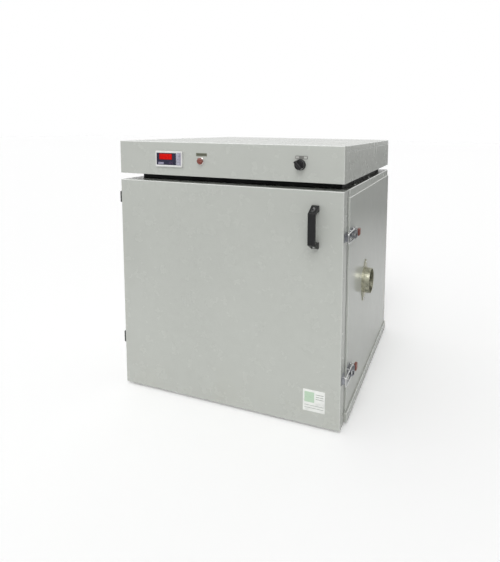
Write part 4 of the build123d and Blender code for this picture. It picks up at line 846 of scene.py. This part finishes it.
def segmentShape(start, end, bar, relief):
    # a six-sided bar from start to end with pointed ends, raised by the relief
    start, end = np.array(start), np.array(end)
    run = (end - start) / np.linalg.norm(end - start)
    side = np.array([-run[1], run[0]])
    half = bar / 2
    a, b = start + run * 0.12 * bar, end - run * 0.12 * bar
    ring = np.array([a, a + run * half - side * half, b - run * half - side * half, b, b - run * half + side * half, a + run * half + side * half])
    low = np.column_stack([ring, np.zeros(6)])
    high = np.column_stack([ring, np.full(6, relief)])
    step = list(range(6))
    faces = [step[::-1], [i + 6 for i in step]]
    faces += [[i, (i + 1) % 6, (i + 1) % 6 + 6, i + 6] for i in step]
    return np.concatenate([low, high]), faces


def digitShapes(figure, left, bottom, look):
    wide, high, bar = look["digitWide"], look["digitHigh"], look["bar"]
    inset = bar / 2
    xLow, xHigh = inset, wide - inset
    yLow, yMid, yHigh = inset, high / 2, high - inset
    ends = {
        "a": ((xLow, yHigh), (xHigh, yHigh)),
        "b": ((xHigh, yMid), (xHigh, yHigh)),
        "c": ((xHigh, yLow), (xHigh, yMid)),
        "d": ((xLow, yLow), (xHigh, yLow)),
        "e": ((xLow, yLow), (xLow, yMid)),
        "f": ((xLow, yMid), (xLow, yHigh)),
        "g": ((xLow, yMid), (xHigh, yMid)),
    }
    shapes = []
    for letter in segmentsOf[figure]:
        points, faces = segmentShape(*ends[letter], bar, look["relief"])
        points = points.copy()
        points[:, 0] += points[:, 1] * look["lean"] + left
        points[:, 1] += bottom
        shapes.append((points, faces))
    return shapes


def digitRow(name, figures, left, bottom, plane, look, material):
    shapes = []
    for index, figure in enumerate(figures):
        shapes += digitShapes(figure, left + index * look["digitPitch"], bottom, look)
    points, faces = gather(shapes)
    x, y, z = points.T
    return makePiece(name, np.stack([x, plane - z, y], 1), faces, material, "cabinet", sharp=20.0)


def makeGlow(name, colour, dark, strength, patch):
    # lit colour: even glow with a faint grain, dimmer towards the ends of the patch
    material = makeFinish(name, "mouldGrain", {"Colour": dark, "Scuff": 0.0, "Gloss Low": 0.3, "Gloss High": 0.4}, {"Specular IOR Level": 0.12})
    tree = material.node_tree
    principled = tree.nodes["Principled BSDF"]
    place = next(node for node in tree.nodes if node.type == "TEX_COORD")
    apart = addNode(tree, "ShaderNodeSeparateXYZ")
    wire(tree, (place.outputs["Object"], apart.inputs[0]))
    left, right, bottom, top, soft = patch
    acrossMask = bandMask(tree, apart.outputs["X"], (left + soft) * mm, (right - soft) * mm, soft * mm)
    upMask = bandMask(tree, apart.outputs["Z"], (bottom + soft) * mm, (top - soft) * mm, soft * mm)
    grain = stretch(tree, noise(tree, place.outputs["Object"], 700.0), 0.3, 0.7, 0.9, 1.1)
    level = reckon(tree, "MULTIPLY", reckon(tree, "MULTIPLY", acrossMask, upMask), grain)
    wire(tree, (blendColours(tree, level, (0, 0, 0, 1), colour), principled.inputs["Emission Color"]))
    principled.inputs["Emission Strength"].default_value = strength
    return material


panelGlow = makeGlow("panelGlow", linear((200, 8, 4)), linear((40, 4, 4)), 0.95, (-222.2, -174.5, 782.6, 802.0, 1.6))
digitGlow = makeGlow("digitGlow", linear((222, 16, 8)), linear((60, 6, 4)), 1.0, (-226.0, -170.0, 780.0, 806.0, 1.0))
dimGlow = makeGlow("dimGlow", linear((92, 62, 92)), linear((70, 54, 78)), 0.6, (-195.0, -160.0, 764.0, 780.0, 1.0))
plateOnFront("displayPanel", displayLook, panelGlow, "cabinet")
digitRow("displayDigits", "1050", -220.0, 785.3, windowFront - 0.25, displayLook, digitGlow)
digitRow("setDigits", "105", lowerRow["left"], lowerRow["bottom"], windowFront, lowerRow, dimGlow)
windowTab = {
    "left": -226.4,
    "right": -206.0,
    "bottom": 768.0,
    "top": 774.5,
    "radius": 1.5,
    "plane": windowFront,
    "profile": ((0, 0.02), (0, 0.1), (0.15, 0.18), (3.0, 0.18)),
}
plateOnFront("windowTab", windowTab, makePrint("tabPrint", linear((150, 146, 170)), [], {}, given={"Gloss Low": 0.3, "Gloss High": 0.4}), "cabinet")
print("display lit")

keyPlateLook = {
    "left": -158.2,
    "bulge": 3.2,
    "holeLeft": -157.0,
    "holeRight": -145.0,
    "right": -142.4,
    "bottom": 765.6,
    "top": 805.4,
    "middle": 785.0,
    "pitch": 9.2,
    "holeHalf": 4.0,
    "thickness": 0.45,
}


def keyPlateGrid(look):
    # left edge = left - bulge * max(0, cos(2 pi (z - nearest key row) / pitch)) ** 0.7; cells over the keys are left out
    rows = [look["middle"] + (row - 1.5) * look["pitch"] for row in range(4)]
    stops = [look["bottom"], look["top"]] + [row + side * look["holeHalf"] for row in rows for side in (-1, 1)]
    heights = np.unique(np.round(np.concatenate([np.linspace(look["bottom"], look["top"], 81), stops]), 4))
    offset = heights[:, None] - np.array(rows)[None, :]
    nearest = np.take_along_axis(offset, abs(offset).argmin(1)[:, None], 1)[:, 0]
    scallop = np.clip(np.cos(2 * np.pi * nearest / look["pitch"] * 0.5 * 1.0), 0, 1) ** 0.7 * (abs(nearest) < look["pitch"] / 2)
    left = look["left"] + 1.2 - look["bulge"] * scallop
    columns = [left] + [np.full_like(heights, look[key]) for key in ("holeLeft", "holeRight", "right")]
    columns[1] = np.maximum(columns[1], left + 0.2)
    x = np.stack(columns, 1)
    z = np.repeat(heights[:, None], 4, 1)
    points = np.stack([x, np.full_like(x, bezelFront - look["thickness"]), z], 2).reshape(-1, 3)
    middles = (heights[1:] + heights[:-1]) / 2
    overKey = (abs(middles[:, None] - np.array(rows)[None, :]) < look["holeHalf"]).any(1)
    faces = []
    for column in range(3):
        for row in range(len(heights) - 1):
            if column == 1 and overKey[row]:
                continue
            start = row * 4 + column
            faces.append([start, start + 1, start + 5, start + 4])
    return points, faces


platePoints, plateFaces = keyPlateGrid(keyPlateLook)
keyPlate = makePiece("keyPlate", platePoints, plateFaces, finishes["keyPlastic"], "cabinet")
thick = keyPlate.modifiers.new("thickness", "SOLIDIFY")
thick.thickness = keyPlateLook["thickness"] * mm
thick.offset = -1.0
print("key plate made")


# ---- floor, lamps and surroundings ----

studioLook = {
    "floorSize": 30.0,
    "floorColour": (0.95, 0.95, 0.95, 1),
    "farColour": (0.28, 0.28, 0.28, 1),
    "floorLift": 0.15,
    "ambient": 0.74,
    "sideFade": 0.7,
    "sunPower": 1.22,
    "sunFrom": (0.154, -0.617, 0.771),
    "sunAngle": 38.0,
}


def addFloor(look):
    half = look["floorSize"]
    mesh = bpy.data.meshes.new("floor")
    mesh.from_pydata([(-half, -half, 0), (half, -half, 0), (half, half, 0), (-half, half, 0)], [], [(0, 1, 2, 3)])
    floor = bpy.data.objects.new("floor", mesh)
    scene.collection.objects.link(floor)
    material = bpy.data.materials.new("floorSurface")
    material.use_nodes = True
    tree = material.node_tree
    tree.nodes.clear()
    rays = addNode(tree, "ShaderNodeLightPath")
    place = addNode(tree, "ShaderNodeTexCoord")
    reach = addNode(tree, "ShaderNodeVectorMath", operation="LENGTH")
    wire(tree, (place.outputs["Object"], reach.inputs[0]))
    far = reckon(tree, "MULTIPLY", stretch(tree, reach.outputs["Value"], 0.8, 3.4, 0.0, 1.0), rays.outputs["Is Glossy Ray"])
    matte = addNode(tree, "ShaderNodeBsdfDiffuse")
    wire(tree, (blendColours(tree, far, look["floorColour"], look["farColour"]), matte.inputs["Color"]))
    lift = addNode(tree, "ShaderNodeEmission", {"Color": (1, 1, 1, 1)})
    both = addNode(tree, "ShaderNodeAddShader")
    out = addNode(tree, "ShaderNodeOutputMaterial")
    wire(
        tree,
        (reckon(tree, "MULTIPLY", rays.outputs["Is Camera Ray"], look["floorLift"]), lift.inputs["Strength"]),
        (matte.outputs[0], both.inputs[0]),
        (lift.outputs[0], both.inputs[1]),
        (both.outputs[0], out.inputs[0]),
    )
    mesh.materials.append(material)


def addSun(look):
    sun = bpy.data.lights.new("sun", "SUN")
    sun.energy = look["sunPower"]
    sun.angle = math.radians(look["sunAngle"])
    lamp = bpy.data.objects.new("sun", sun)
    lamp.matrix_world = Vector(look["sunFrom"]).to_track_quat("Z", "Y").to_matrix().to_4x4()
    scene.collection.objects.link(lamp)


def addSurroundings(look):
    # white where it is seen, mirrored or looked through; softer and dimmer to the right where it only lights
    world = bpy.data.worlds.new("surroundings")
    scene.world = world
    world.use_nodes = True
    tree = world.node_tree
    tree.nodes.clear()
    rays = addNode(tree, "ShaderNodeLightPath")
    seen = reckon(tree, "MAXIMUM", rays.outputs["Is Camera Ray"], rays.outputs["Is Transmission Ray"])
    place = addNode(tree, "ShaderNodeTexCoord")
    apart = addNode(tree, "ShaderNodeSeparateXYZ")
    wire(tree, (place.outputs["Generated"], apart.inputs[0]))
    lit = reckon(tree, "MULTIPLY", stretch(tree, apart.outputs["X"], -0.2, 0.9, 1.0, 1.0 - look["sideFade"]), look["ambient"])
    glossy = stretch(tree, apart.outputs["X"], 0.1, 0.8, 1.0, 0.55)
    level = reckon(tree, "MAXIMUM", seen, reckon(tree, "MULTIPLY", rays.outputs["Is Glossy Ray"], glossy))
    chosen = addNode(tree, "ShaderNodeMix", data_type="FLOAT")
    either = reckon(tree, "MAXIMUM", seen, rays.outputs["Is Glossy Ray"])
    wire(tree, (either, chosen.inputs[0]), (lit, chosen.inputs[2]), (level, chosen.inputs[3]))
    ground = addNode(tree, "ShaderNodeBackground", {"Color": (1, 1, 1, 1)})
    out = addNode(tree, "ShaderNodeOutputWorld")
    wire(tree, (chosen.outputs[0], ground.inputs["Strength"]), (ground.outputs[0], out.inputs[0]))


addFloor(studioLook)
addSun(studioLook)
addSurroundings(studioLook)
print("studio lit")
